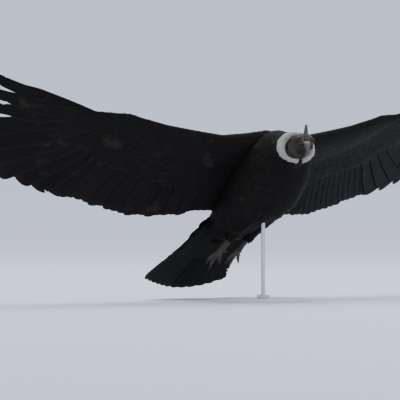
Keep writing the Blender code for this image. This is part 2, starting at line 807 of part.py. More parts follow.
def ruff_lock(turn):
    """One flat, tapered lock of down, bent out over the core and back."""
    size = random.uniform(0.94, 1.04)
    sway = random.uniform(-RUFF_SWAY, RUFF_SWAY)
    last = len(LOCK_PATH) - 1
    rings = []
    for k, (out, ahead, half) in enumerate(LOCK_PATH):
        middle = turn + sway * (k / last) ** 2
        normal_out, normal_ahead = LOCK_NORMAL[k]
        thick = LOCK_THICK * (1 - 0.65 * k / last)
        ring = []
        for across, face in ((-1, -1), (1, -1), (1, 1), (-1, 1)):
            rise = RUFF_LEAN * across * half + face * thick
            lock_out = RUFF_INNER + (out + rise * normal_out - RUFF_INNER) * size
            lock_ahead = (ahead + rise * normal_ahead) * size
            ring.append(ruff_point(middle + across * half / out, lock_out, lock_ahead))
        rings.append(ring)
    return loft("lock", rings)


def ruff():
    """The collar of down: overlapping locks grown from their core."""
    core = ruff_core()
    arc = 2 * (math.pi - RUFF_GAP)
    fuse(core, [ruff_lock(RUFF_GAP + arc * (k + 0.5) / RUFF_LOCKS) for k in range(RUFF_LOCKS)])
    return core


def tube(name, places, radii, sides):
    """A round, tapered limb through places."""
    rings = []
    for k, place in enumerate(places):
        along = places[min(k + 1, len(places) - 1)] - places[max(k - 1, 0)]
        rings.append(ring_across(place, along, radii[k], sides))
    return loft(name, rings)


def foot():
    """The left shank, with three toes laid back under the tail and a short hind toe."""
    places = [ANKLE.lerp(SOLE, t) for t in SHANK_PLACES]
    shank = tube("left_foot", places, [TARSUS_RADIUS * g for g in SHANK_GIRTH], 10)
    toes = []
    for yaw, length, radius in TOES:
        turn = math.radians(yaw)
        points = []
        for t in TOE_PLACES:
            rise = 0.06 * t - 0.16 * t * max(0.0, t) ** 2
            points.append(SOLE + Vector((math.sin(turn) * t, math.cos(turn) * t, rise)) * length)
        toes.append(tube("toe", points, [radius * g for g in TOE_GIRTH], 7))
    points = [SOLE + HIND_TOE * t for t in HIND_TOE_PLACES]
    toes.append(tube("toe", points, [HIND_TOE_RADIUS * g for g in HIND_TOE_GIRTH], 7))
    fuse(shank, toes)
    return shank


def thigh():
    """The left thigh in its trousers of feathers, folded against the belly."""
    rings = [
        oval_ring(Vector((x, y, z)), SIDEWAYS, UPRIGHT, width, height, height, 12)
        for y, x, z, width, height in THIGH_RINGS
    ]
    return loft("left_thigh", rings)


def turned(name, profile, closed=False):
    """A round solid from a profile of (radius, height) points, outer side from the top down."""
    bm = bmesh.new()
    verts = [bm.verts.new((radius, 0, z)) for radius, z in profile]
    for a, b in zip(verts, verts[1:] + verts[:1] if closed else verts[1:]):
        bm.edges.new((a, b))
    mesh = bpy.data.meshes.new(name)
    bm.to_mesh(mesh)
    bm.free()
    obj = bpy.data.objects.new(name, mesh)
    bpy.context.scene.collection.objects.link(obj)
    screw = obj.modifiers.new("turn", "SCREW")
    screw.steps = screw.render_steps = TURNED_STEPS
    screw.use_merge_vertices = True
    screw.merge_threshold = 0.0001
    return obj


def stand(body):
    """The flat foot, the rod up to the belly and the collar that holds the rod."""
    turned(
        "stand_base",
        (
            (0, BASE_THICK),
            (BASE_RADIUS - BASE_EDGE, BASE_THICK),
            (BASE_RADIUS, BASE_THICK - BASE_EDGE),
            (BASE_RADIUS, 0),
            (0, 0),
        ),
    )
    low = BASE_THICK + GAP
    high = low + COLLAR_HEIGHT
    turned(
        "stand_collar",
        (
            (ROD_RADIUS + GAP, high),
            (COLLAR_RADIUS - BASE_EDGE, high),
            (COLLAR_RADIUS, high - BASE_EDGE),
            (COLLAR_RADIUS, low),
            (ROD_RADIUS + GAP, low),
        ),
        closed=True,
    )
    height = BIRD_ORIGIN.z
    rod = cylinder("stand_rod", Matrix.Translation((0, 0, low + height / 2)), ROD_RADIUS, height, 20)
    apply_boolean(rod, "DIFFERENCE", [placed(grown_copy(body, GAP), bird_matrix())])
    keep_largest(rod)


def finish(obj):
    """Gives a part its own material."""
    colour, roughness, metallic = FINISHES[FINISH_OF[obj.name]]
    made = bpy.data.materials.new(obj.name + "_" + FINISH_OF[obj.name])
    made.use_nodes = True
    shader = made.node_tree.nodes["Principled BSDF"]
    shader.inputs["Base Color"].default_value = (*colour, 1.0)
    shader.inputs["Roughness"].default_value = roughness
    shader.inputs["Metallic"].default_value = metallic
    obj.data.materials.clear()
    obj.data.materials.append(made)


def assemble():
    """Puts the parts in one collection and tips the bird nose up over its stand."""
    collection = bpy.data.collections.new("andean_condor")
    bpy.context.scene.collection.children.link(collection)
    bird = bpy.data.objects.new("bird", None)
    collection.objects.link(bird)
    bird.location = BIRD_ORIGIN
    bird.rotation_euler = (-NOSE_UP, 0, 0)
    for obj in [obj for obj in bpy.data.objects if obj.type == "MESH"]:
        bpy.context.scene.collection.objects.unlink(obj)
        collection.objects.link(obj)
        finish(obj)
        if not obj.name.startswith("stand_"):
            obj.parent = bird


def main():
    """Builds the bird and its stand."""
    clear_scene()
    random.seed(SEED)
    trunk = torso()
    throat = neck()
    cut_clear(throat, trunk)
    skull = head()
    cut_clear(throat, skull)
    beak = upper_bill()
    cut_clear(beak, skull)
    jaw = placed(bill("lower_bill", LOWER_BILL), head_matrix())
    cut_clear(jaw, skull, beak)
    crest = comb()
    cut_clear(crest, skull, beak)
    fold = wattle()
    cut_clear(fold, skull, jaw, throat)
    for sign in (1, -1):
        apply_boolean(skull, "DIFFERENCE", [grown_copy(eye(sign), GAP)])
    keep_largest(skull)
    left_wing = wing()
    cut_clear(left_wing, trunk)
    right_wing = mirrored(left_wing, "right_wing")
    collar = ruff()
    cut_clear(collar, throat, trunk, skull, left_wing, right_wing)
    cut_clear(tail(), trunk)
    left_thigh = thigh()
    cut_clear(left_thigh, trunk)
    left_foot = foot()
    cut_clear(left_foot, left_thigh, trunk)
    mirrored(left_thigh, "right_thigh")
    mirrored(left_foot, "right_foot")
    stand(trunk)
    assemble()


main()
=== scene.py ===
"""The looks of the Andean condor on its display stand.

Everything is in metres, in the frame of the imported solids: +Z up, with the origin under the middle
of the stand's foot. The bird's own frame has +X to its left, +Y to its tail and +Z to its back.
"""

import logging
import math
from dataclasses import dataclass, field
from enum import Enum
from functools import partial
from typing import Callable, Sequence

import bmesh
import bpy
import numpy as np
from mathutils import Matrix, Vector


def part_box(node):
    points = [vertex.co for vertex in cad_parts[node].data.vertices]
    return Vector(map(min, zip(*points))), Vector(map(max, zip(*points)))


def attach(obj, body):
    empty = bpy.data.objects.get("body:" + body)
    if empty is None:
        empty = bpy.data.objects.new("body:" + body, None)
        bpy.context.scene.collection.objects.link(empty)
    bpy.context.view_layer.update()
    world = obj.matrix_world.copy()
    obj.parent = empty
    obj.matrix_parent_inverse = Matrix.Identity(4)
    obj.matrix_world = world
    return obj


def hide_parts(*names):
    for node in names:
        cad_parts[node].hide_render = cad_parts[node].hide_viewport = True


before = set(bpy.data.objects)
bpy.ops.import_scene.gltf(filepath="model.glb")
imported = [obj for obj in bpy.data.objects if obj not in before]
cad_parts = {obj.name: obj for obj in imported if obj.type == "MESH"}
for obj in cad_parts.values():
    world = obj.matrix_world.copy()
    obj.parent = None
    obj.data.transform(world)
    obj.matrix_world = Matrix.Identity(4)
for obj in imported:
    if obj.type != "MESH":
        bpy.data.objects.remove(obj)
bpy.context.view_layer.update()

LOG = logging.getLogger("condor")
BODY = "root"

Array = np.ndarray
Draws = np.random.Generator
Layers = dict[str, Array]
Material = bpy.types.Material
Mesh = bpy.types.Mesh
Object = bpy.types.Object
Socket = bpy.types.NodeSocket
Pair = tuple[float, float]
Triple = tuple[float, float, float]
Feed = Socket | float | Triple | None
Floats = tuple[float, ...]
Stations = tuple[Floats, ...]
Surface = Callable[[Array, Array, Array], Array]


class Sign(Enum):
    """A choice that stands for the sign of a direction."""

    @property
    def label(self) -> str:
        """The choice as it stands in the names of pieces and nodes."""
        return self.name.lower()


class Side(Sign):
    """The bird's two sides, as the sign of X."""

    LEFT = 1
    RIGHT = -1


class Face(Sign):
    """The two faces of a wing or tail, as the sign of a height over its sheet."""

    UPPER = 1
    LOWER = -1


def curve_through(stations: Sequence[float], values: Sequence[float], at: Array) -> Array:
    """A smooth curve through (station, value) pairs.

    Args:
        stations: Rising places.
        values: The value at each place.
        at: Where the curve is read; beyond the ends it holds its last value.

    Returns:
        The curve's values, in the shape of at.
    """
    x, y = np.asarray(stations, float), np.asarray(values, float)
    slope = np.empty_like(y)
    slope[1:-1] = (y[2:] - y[:-2]) / (x[2:] - x[:-2])
    slope[0] = (y[1] - y[0]) / (x[1] - x[0])
    slope[-1] = (y[-1] - y[-2]) / (x[-1] - x[-2])
    at = np.clip(np.asarray(at, float), x[0], x[-1])
    low = np.clip(np.searchsorted(x, at, side="right") - 1, 0, len(x) - 2)
    width = x[low + 1] - x[low]
    t = (at - x[low]) / width
    return (
        (2 * t**3 - 3 * t**2 + 1) * y[low]
        + (t**3 - 2 * t**2 + t) * slope[low] * width
        + (3 * t**2 - 2 * t**3) * y[low + 1]
        + (t**3 - t**2) * slope[low + 1] * width
    )


def curves_through(stations: Sequence[Floats], at: Array) -> list[Array]:
    """Smooth curves through the values of stations, of which the first is their place."""
    places, *columns = zip(*stations)
    return [curve_through(places, values, at) for values in columns]


def smooth_step(low: float, high: float, value: Array) -> Array:
    """0 below low, 1 above high, and smooth between."""
    t = np.clip((value - low) / (high - low), 0.0, 1.0)
    return t * t * (3 - 2 * t)


def paired(first: Array | float, second: Array | float) -> Array:
    """Two rows of values, or a row and a single value, as rows of two."""
    return np.stack(np.broadcast_arrays(first, second), 1)


def turns(count: int) -> Array:
    """Angles evenly round a circle."""
    return np.arange(count) * 2 * math.pi / count


def unit(vectors: Array) -> Array:
    """Vectors drawn out to a length of one."""
    return vectors / np.linalg.norm(vectors, axis=-1, keepdims=True)


def frame_along(along: Array) -> tuple[Array, Array]:
    """Unit vectors to the side of each direction along a line, and upward from both."""
    side = unit(np.cross(along, (0.0, 0.0, 1.0)))
    return side, unit(np.cross(side, along))


def oval(turn: Array, half: Array, rise: Array, depth: Array, power: float) -> tuple[Array, Array]:
    """Points of a rounded section.

    Args:
        turn: The angle of each point.
        half: Half the section's width.
        rise: Its reach upward.
        depth: Its reach downward.
        power: 2 for an ellipse, and more for a squarer form.

    Returns:
        How far across and up the points are.
    """
    c, s = np.cos(turn), np.sin(turn)
    across = half * np.sign(c) * abs(c) ** (2 / power)
    return across, np.where(s > 0, rise, depth) * np.sign(s) * abs(s) ** (2 / power)


def rings_over(point: Surface, ends: Pair, count: int, sides: int, lift: float) -> Array:
    """Reads rings off a form.

    Args:
        point: Gives the form's point at (place, turn, lift).
        ends: The first and last ring's places.
        count: How many rings are wanted.
        sides: How many points round each.
        lift: How far over the form they are.

    Returns:
        The rings.
    """
    place, turn = np.linspace(*ends, count)[:, None], turns(sides)[None, :]
    return point(place + 0 * turn, turn + 0 * place, np.full((count, sides), lift))


HASH_FACTORS = (73856093, 19349663, 83492791, 2654435761)
HASH_MIX = 1274126177


def lattice_noise(points: Array, scale: float, seed: int) -> Array:
    """Smooth noise between -1 and 1.

    Args:
        points: Places, with three numbers each.
        scale: How many cells a metre holds.
        seed: Picks the pattern.

    Returns:
        One value for each point.
    """
    place = points * scale + 137.0
    cell = np.floor(place).astype(np.int64)
    part = place - cell
    part = part * part * (3 - 2 * part)
    total = np.zeros(points.shape[:-1])
    a, b, c, d = HASH_FACTORS
    for corner in range(8):
        step = np.array([corner & 1, corner >> 1 & 1, corner >> 2 & 1])
        key = cell + step
        mixed = key[..., 0] * a ^ key[..., 1] * b ^ key[..., 2] * c ^ seed * d
        mixed = (mixed ^ mixed >> 13) * HASH_MIX & 0xFFFFFFFF
        value = (mixed ^ mixed >> 16) % 65536 / 32768.0 - 1.0
        weight = np.prod(np.where(step == 1, part, 1 - part), axis=-1)
        total += weight * value
    return total


@dataclass(frozen=True)
class Pose:
    """How the bird is tipped over its stand."""

    nose_up: float = math.radians(39.0)
    origin: Triple = (0.0, -0.03, 0.475)

    def turn(self) -> Array:
        """The rotation from the bird's frame to the stand's."""
        c, s = math.cos(self.nose_up), math.sin(self.nose_up)
        return np.array([[1, 0, 0], [0, c, s], [0, -s, c]])

    def to_world(self, points: Array) -> Array:
        """Points of the bird's frame, in the stand's frame."""
        return points @ self.turn().T + np.array(self.origin)


POSE = Pose()


@dataclass(frozen=True)
class Ramp:
    """A value that changes along a line of feathers."""

    start: float
    change: float
    power: float = 1.0

    def at(self, share: Array) -> Array:
        """The value at a share of the line's length."""
        return self.start + self.change * share**self.power

    def share(self, value: Array) -> Array:
        """The share, between 0 and 1, at which a steady ramp has a value."""
        return np.clip((value - self.start) / self.change, 0, 1)


@dataclass(frozen=True)
class Line:
    """Where a line of feathers is rooted on a wing's sheet, and its lie in degrees."""

    span: Ramp
    ahead: Ramp
    lie: Ramp

    def root(self, share: Array) -> Array:
        """The roots at shares of the line."""
        return paired(self.span.at(share), self.ahead.at(share))

    def angle(self, share: Array) -> Array:
        """The feathers' direction at shares of the line."""
        return np.radians(self.lie.at(share))


@dataclass(frozen=True)
class Cut:
    """The make of one kind of feather.

    Attributes:
        outline: Pairs of (share of the length, share of the reach).
        tip: The share of the length from which the tip is rounded.
        columns: Where the mesh has points across the vane, from -1 (inner edge) to 1.
        rows: How many rings of points it has.
        thick: The vane's thickness.
        shaft: How far the shaft stands out of it.
        droop: How strongly its edges curve down.
        splits: How many splits each web has.
        fray: How uneven its edges are.
        slant: How far its edges are drawn towards the tip.
    """

    outline: tuple[Pair, ...]
    tip: float
    columns: Floats
    rows: int
    thick: float
    shaft: float = 0.0
    droop: float = 0.0
    splits: int = 0
    fray: float = 0.0
    slant: float = 0.35

    @property
    def top(self) -> int:
        """The point of a ring that lies on its outer rim."""
        return len(self.columns) - 1


FIVE_COLUMNS = (-1.0, -0.5, 0.0, 0.5, 1.0)
TEN_COLUMNS = (-1.0, -0.72, -0.42, -0.16, -0.035, 0.0, 0.06, 0.32, 0.66, 1.0)


@dataclass
class Tract:
    """Feathers of one kind. A value may be given once, or once for each feather.

    Attributes:
        root: Where each one starts, as (across, ahead).
        angle: Its direction, outward from straight back.
        length: Its length.
        reach: How far its inner and outer webs reach.
        lift: The height of its root and of its tip.
        roll: How steeply it is banked.
        white: How white it is.
    """

    root: Array
    angle: Array | float
    length: Array | float
    reach: Array | Pair
    lift: Array | Pair
    roll: Array | float = 0.0
    white: Array | float = 0.0

    def __post_init__(self) -> None:
        """Repeats single values for every feather."""
        for name in ("angle", "length", "reach", "lift", "roll", "white"):
            shape = (len(self.root), 2) if name in ("reach", "lift") else (len(self.root),)
            setattr(self, name, np.broadcast_to(np.asarray(getattr(self, name), float), shape))


ROW_CROWDING = 1.3  # above 1, rows of points lie closer towards a feather's tip
LEAST_WIDTH = 0.012  # square of the share of its width that a feather keeps at its very tip
SPLIT_DEPTH = (0.03, 0.30)  # how much of a web a split takes
SPLIT_PINCH = 0.36  # how far the rows beside a split close in on it, in rows
VANE_THINNING = 0.6  # the share of its thickness that a vane loses up to its tip
SHAFT_THINNING = 0.75  # the share of its height that a shaft loses
BARB_SLANT = 1.1  # how far barbs run forward for each step outward


def split_webs(cut: Cut, count: int, rng: Draws) -> tuple[Array, Array]:
    """Draws the splits in feathers' webs.

    Args:
        cut: The feathers' make.
        count: How many feathers there are.
        rng: Draws each split's row and depth.

    Returns:
        How far the two edges reach at each row, and how many rows each is moved along.
    """
    gap, shift = np.ones((count, cut.rows, 2)), np.zeros((count, cut.rows, 2))
    feather, web = np.indices((count, 2))
    for _ in range(cut.splits):
        row = rng.integers(cut.rows // 3, cut.rows - 3, (count, 2))
        gap[feather, row, web] *= 1 - rng.uniform(*SPLIT_DEPTH, (count, 2))
        shift[feather, row - 1, web] += SPLIT_PINCH
        shift[feather, row + 1, web] -= SPLIT_PINCH
    return gap, shift


def grow(surface: Surface, cut: Cut, tract: Tract, rng: Draws) -> tuple[Array, Layers]:
    """Feathers laid on a surface.

    Args:
        surface: Gives the point at (across, ahead, height).
        cut: The feathers' make.
        tract: Where each root is, and each feather's direction and sizes.
        rng: Draws the splits, the fray and each feather's tone.

    Returns:
        Rings of points, (feather, row, side of the ring, 3), and the values that the finish reads.
    """
    count, columns = len(tract.root), np.array(cut.columns)
    share = 1 - (1 - np.linspace(0, 1, cut.rows)) ** ROW_CROWDING
    at, wide = zip(*cut.outline)
    past_tip = (share - cut.tip).clip(0) / (1 - cut.tip)
    width = curve_through(at, wide, share) * np.sqrt(np.clip(1 - past_tip**2, LEAST_WIDTH, 1))
    gap, shift = split_webs(cut, count, rng)
    inner = columns < 0
    edge = np.where(inner, gap[..., :1], gap[..., 1:])
    slide = np.where(inner, shift[..., :1], shift[..., 1:]) * columns**2
    slide = slide * np.gradient(share)[:, None]
    if cut.fray:
        edge = edge * (1 + cut.fray * rng.standard_normal(edge.shape))
    place = np.sign(columns) * np.minimum(abs(columns), edge)
    root, reach, lift = tract.root[:, None, None], tract.reach[:, None], tract.lift[:, None]
    angle, length, roll, white = (
        values[:, None, None] for values in (tract.angle, tract.length, tract.roll, tract.white)
    )
    row_share = share[None, :, None]
    across = place * np.where(inner, reach[..., :1], reach[..., 1:]) * width[None, :, None]
    along = (row_share + slide) * length
    along = along + cut.slant * abs(across) * (1 - row_share)
    x = root[..., 0] + np.sin(angle) * along + np.cos(angle) * across
    y = root[..., 1] - np.cos(angle) * along + np.sin(angle) * across
    level = lift[..., :1] + (lift[..., 1:] - lift[..., :1]) * row_share
    level = level + roll * across - cut.droop * across**2
    order = [*range(cut.top + 1), *range(cut.top - 1, 0, -1)]
    sign = np.array([1.0] * (cut.top + 1) + [-1.0] * (cut.top - 1))
    body = cut.thick / 2 * (1 - columns**2) * (1 - VANE_THINNING * share[:, None])
    body = body + cut.shaft * (columns == 0) * (1 - SHAFT_THINNING * share[:, None])
    rings = surface(x[..., order], y[..., order], level[..., order] + sign * body[None, :, order])
    full = np.ones((count, cut.rows, len(order)))
    layers = {
        "along": full * row_share,
        "across": full * columns[order],
        "barb": (along - BARB_SLANT * abs(across))[..., order],
        "tone": full * rng.uniform(0, 1, (count, 1, 1)),
        "white": full * white,
    }
    return rings, layers


def linked(name: str, data: bpy.types.ID) -> Object:
    """Puts a new object in the scene.

    Args:
        name: Its name.
        data: Its mesh, camera or light.

    Returns:
        The object.
    """
    obj = bpy.data.objects.new(name, data)
    bpy.context.scene.collection.objects.link(obj)
    return obj


@dataclass
class Coat:
    """A piece of many like closed bodies, each lofted over its rings.

    The point 0 of a ring lies on a body's first rim, and the point top on its second. bodies lists
    (points as (body, row, side of the ring, 3), what the finish reads there, bake places).
    """

    name: str
    top: int
    sharp: bool = True
    bodies: list[tuple[Array, Layers, Array]] = field(default_factory=list)

    def add(self, rings: Array, layers: Layers, patches: Array) -> None:
        """Adds bodies, with what the finish reads and their places on the bake map."""
        self.bodies.append((rings, layers, patches))

    def plant(self, surface: Surface, cut: Cut, tract: Tract, patches: Array, rng: Draws) -> Layers:
        """Grows feathers and adds them, and gives what the finish reads, which may be changed."""
        self.bodies.append((*grow(surface, cut, tract, rng), patches))
        return self.bodies[-1][1]

    def build(self, finish: Material, slot: str) -> Object:
        """Makes the mesh object, dresses it and lets it ride.

        Args:
            finish: The material of the whole piece.
            slot: The record's material slot; not used.

        Returns:
            The new object.
        """
        sides, caps, start = [], [], 0
        for rings, _, patch in self.bodies:
            side, cap = self._loft(start, rings, patch)
            sides.append(side)
            caps.append(cap)
            start += rings.size // 3
        faces = [corners for corners, _ in sides + caps]
        sizes = np.concatenate([np.full(len(corners), corners.shape[1]) for corners in faces])
        mesh = bpy.data.meshes.new(self.name)
        points = np.concatenate([rings.reshape(-1, 3) for rings, *_ in self.bodies])
        mesh.vertices.add(len(points))
        mesh.vertices.foreach_set("co", points.astype(np.float32).ravel())
        corners = np.concatenate([corners.ravel() for corners in faces])
        mesh.loops.add(len(corners))
        mesh.loops.foreach_set("vertex_index", corners.astype(np.int32))
        mesh.polygons.add(len(sizes))
        starts = np.concatenate([[0], np.cumsum(sizes)[:-1]])
        mesh.polygons.foreach_set("loop_start", starts.astype(np.int32))
        mesh.update(calc_edges=True)
        mesh.shade_smooth()
        bake = mesh.uv_layers.new(name="OFBake")
        places = np.concatenate([place.reshape(-1, 2) for _, place in sides + caps])
        bake.data.foreach_set("uv", places.astype(np.float32).ravel())
        self._set_layers(mesh, sum(len(corners) for corners, _ in caps))
        if self.sharp:
            self._mark_edges(mesh)
        mesh.materials.append(finish)
        obj = linked(self.name, mesh)
        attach(obj, BODY)
        return obj

    def _loft(self, start: int, rings: Array, patch: Array) -> list[tuple[Array, Array]]:
        """The faces of some of the bodies.

        Args:
            start: How many points of the mesh come before theirs.
            rings: Their points.
            patch: Each body's place and size on the bake map.

        Returns:
            The faces round them and their end caps, each with its corners and their bake places.
        """
        bodies, rows, sides, _ = rings.shape
        index = start + np.arange(bodies * rows * sides).reshape(bodies, rows, sides)
        after = np.roll(index, -1, axis=2)
        around = np.stack([index[:, :-1], after[:, :-1], after[:, 1:], index[:, 1:]], -1)
        caps = np.stack([index[:, 0, ::-1], index[:, -1]], 1)
        u, v = np.arange(sides) / sides, np.arange(rows) / (rows - 1)
        u_of = np.stack([u, u + 1 / sides, u + 1 / sides, u], -1)[None, :, :]
        v_of = np.stack([v[:-1], v[:-1], v[1:], v[1:]], -1)[:, None, :]
        low, size = patch[:, None, None, :2], patch[:, None, None, 2:]
        around_at = np.stack(np.broadcast_arrays(u_of, v_of), -1)[None]
        around_at = low[:, None] + around_at * size[:, None]
        caps_at = low + np.stack([paired(u[::-1], 0.0), paired(u, 1.0)])[None] * size
        if self._inside_out(rings[0]):
            around, around_at = around[..., ::-1], around_at[..., ::-1, :]
            caps, caps_at = caps[..., ::-1], caps_at[..., ::-1, :]
        return [(around.reshape(-1, 4), around_at), (caps.reshape(-1, sides), caps_at)]

    def _set_layers(self, mesh: Mesh, caps: int) -> None:
        """Writes the values that the finish reads, and marks the upper faces.

        Args:
            mesh: The new mesh.
            caps: How many of its faces are end caps, which come last.
        """
        for key in self.bodies[0][1]:
            set_layer(mesh, key, np.concatenate([read[key].ravel() for _, read, _ in self.bodies]))
        upper = [
            np.tile(np.arange(rings.shape[2]) < self.top, rings.shape[0] * (rings.shape[1] - 1))
            for rings, *_ in self.bodies
        ]
        made = mesh.attributes.new("upper", "FLOAT", "FACE")
        flags = np.concatenate([*upper, np.zeros(caps, bool)])
        made.data.foreach_set("value", flags.astype(np.float32))

    @staticmethod
    def _inside_out(rings: Array) -> bool:
        """Tells which way a body's faces would point.

        Args:
            rings: The body's points.

        Returns:
            Whether faces over the rings, taken in order, would point in.
        """
        middle = rings.mean(axis=1, keepdims=True)
        a, b = rings - middle, np.roll(rings, -1, axis=1) - middle
        area = np.cross(a, b).sum(axis=1)
        step = np.gradient(middle[:, 0], axis=0)
        return float((area * step).sum()) > 0

    def _mark_edges(self, mesh: Mesh) -> None:
        """Keeps the two rims of every body sharp, so that its faces don't shade into each other.

        Args:
            mesh: The new mesh.
        """
        rim = []
        for rings, *_ in self.bodies:
            column = np.tile(np.arange(rings.shape[2]), rings.shape[0] * rings.shape[1])
            rim.append(np.where(column == 0, 1, np.where(column == self.top, 2, 0)))
        ends = np.empty(len(mesh.edges) * 2, np.int32)
        mesh.edges.foreach_get("vertices", ends)
        ends = np.concatenate(rim)[ends.reshape(-1, 2)]
        made = mesh.attributes.new("sharp_edge", "BOOLEAN", "EDGE")
        made.data.foreach_set("value", (ends[:, 0] == ends[:, 1]) & (ends[:, 0] > 0))


PATCH = 0.003  # width of one tuft's place on the bake map
STRIP = (0.01, 0.94, 0.98)  # a long vane's strip: its foot, its share of the width, its height


def patches_at(places: Array) -> Array:
    """Small bake patches round places on an unwrap, given between 0 and 1."""
    low = np.clip(places, PATCH, 1 - PATCH) - PATCH / 2
    return np.concatenate([low, np.full_like(low, PATCH)], axis=1)


def strips(count: int, of: int, first: int = 0) -> Array:
    """Side by side bake strips for long vanes: places first and on of a row of so many.

    Args:
        count: How many strips are wanted.
        of: How many the row has.
        first: Where the wanted ones start.

    Returns:
        Each strip's place and size.
    """
    foot, width, height = STRIP
    left = (first + np.arange(count)) / of
    return np.stack(np.broadcast_arrays(left, foot, width / of, height), 1)


class Dye:
    """Builds one material's nodes."""

    def __init__(
        self, name: str, roughness: float, metallic: float = 0.0, **sockets: float
    ) -> None:
        """Starts a material.

        Args:
            name: Its name.
            roughness: Its roughness where nothing is linked.
            metallic: How metallic it is.
            **sockets: Its shader's other sockets, with _ for each space.
        """
        self.material = bpy.data.materials.new(name)
        self.material.use_nodes = True
        self.tree = self.material.node_tree
        self.shader = self.tree.nodes["Principled BSDF"]
        for key, value in {"Roughness": roughness, "Metallic": metallic, **sockets}.items():
            self.shader.inputs[key.replace("_", " ")].default_value = value

    def plug(self, value: Feed, socket: Socket) -> None:
        """Links a socket, or sets a number or colour.

        Args:
            value: What goes into the socket, where it isn't None.
            socket: The socket.
        """
        if isinstance(value, Socket):
            self.tree.links.new(value, socket)
        elif isinstance(value, tuple) and socket.type == "RGBA":
            socket.default_value = (*value, 1.0)
        elif value is not None:
            socket.default_value = value

    def node(self, kind: str, feeds: dict, out: str | int = 0, **settings: object) -> Socket:
        """Adds a node.

        Args:
            kind: The node's type.
            feeds: What goes into its sockets, by their names or numbers.
            out: The name or number of the wanted output.
            **settings: The node's own properties.

        Returns:
            The wanted output.
        """
        made = self.tree.nodes.new(kind)
        for key, value in settings.items():
            setattr(made, key, value)
        for key, value in feeds.items():
            self.plug(value, made.inputs[key])
        return made.outputs[out]

    def read(self, name: str) -> Socket:
        """A value that the mesh carries."""
        return self.node("ShaderNodeAttribute", {}, "Fac", attribute_name=name)

    def sum(self, step: str, a: Feed, b: Feed = 0.0, c: Feed = 0.0, clamp: bool = False) -> Socket:
        """One step of arithmetic."""
        return self.node("ShaderNodeMath", {0: a, 1: b, 2: c}, operation=step, use_clamp=clamp)

    def rise(
        self, value: Feed, low: float, high: float, start: float = 0.0, end: float = 1.0
    ) -> Socket:
        """A smooth rise from start to end while value goes from low to high."""
        feeds = {0: value, 1: low, 2: high, 3: start, 4: end}
        return self.node("ShaderNodeMapRange", feeds, interpolation_type="SMOOTHSTEP")

    def blend(self, share: Feed, a: Feed, b: Feed) -> Socket:
        """A mix of two colours."""
        return self.node("ShaderNodeMix", {0: share, 6: a, 7: b}, 2, data_type="RGBA")

    def place(self, stretch: Triple) -> Socket:
        """The point in the object's own frame, stretched."""
        where = self.node("ShaderNodeTexCoord", {}, "Object")
        return self.node("ShaderNodeMapping", {"Vector": where, "Scale": stretch})

    def grain(self, scale: float, detail: float = 3.0, stretch: Triple = (1.0, 1.0, 1.0)) -> Socket:
        """Noise with so many cells a metre."""
        feeds = {"Vector": self.place(stretch), "Scale": scale, "Detail": detail}
        return self.node("ShaderNodeTexNoise", feeds, "Fac")

    def cells(self, scale: float) -> Socket:
        """The distance to the edges between round cells, so many a metre."""
        feeds = {"Vector": self.place((1.0, 1.0, 1.0)), "Scale": scale}
        return self.node("ShaderNodeTexVoronoi", feeds, "Distance", feature="DISTANCE_TO_EDGE")

    def bump(self, height: Feed, depth: float, strength: float, under: Feed = None) -> Socket:
        """A bumped normal, over another where one is given."""
        feeds = {"Strength": strength, "Distance": depth, "Height": height, "Normal": under}
        return self.node("ShaderNodeBump", feeds)

    def wear(self, colour: Feed, roughness: Feed = None, normal: Feed = None) -> Material:
        """The material, with its colour and what else is given linked to the shader."""
        for value, socket in ((colour, "Base Color"), (roughness, "Roughness"), (normal, "Normal")):
            self.plug(value, self.shader.inputs[socket])
        return self.material


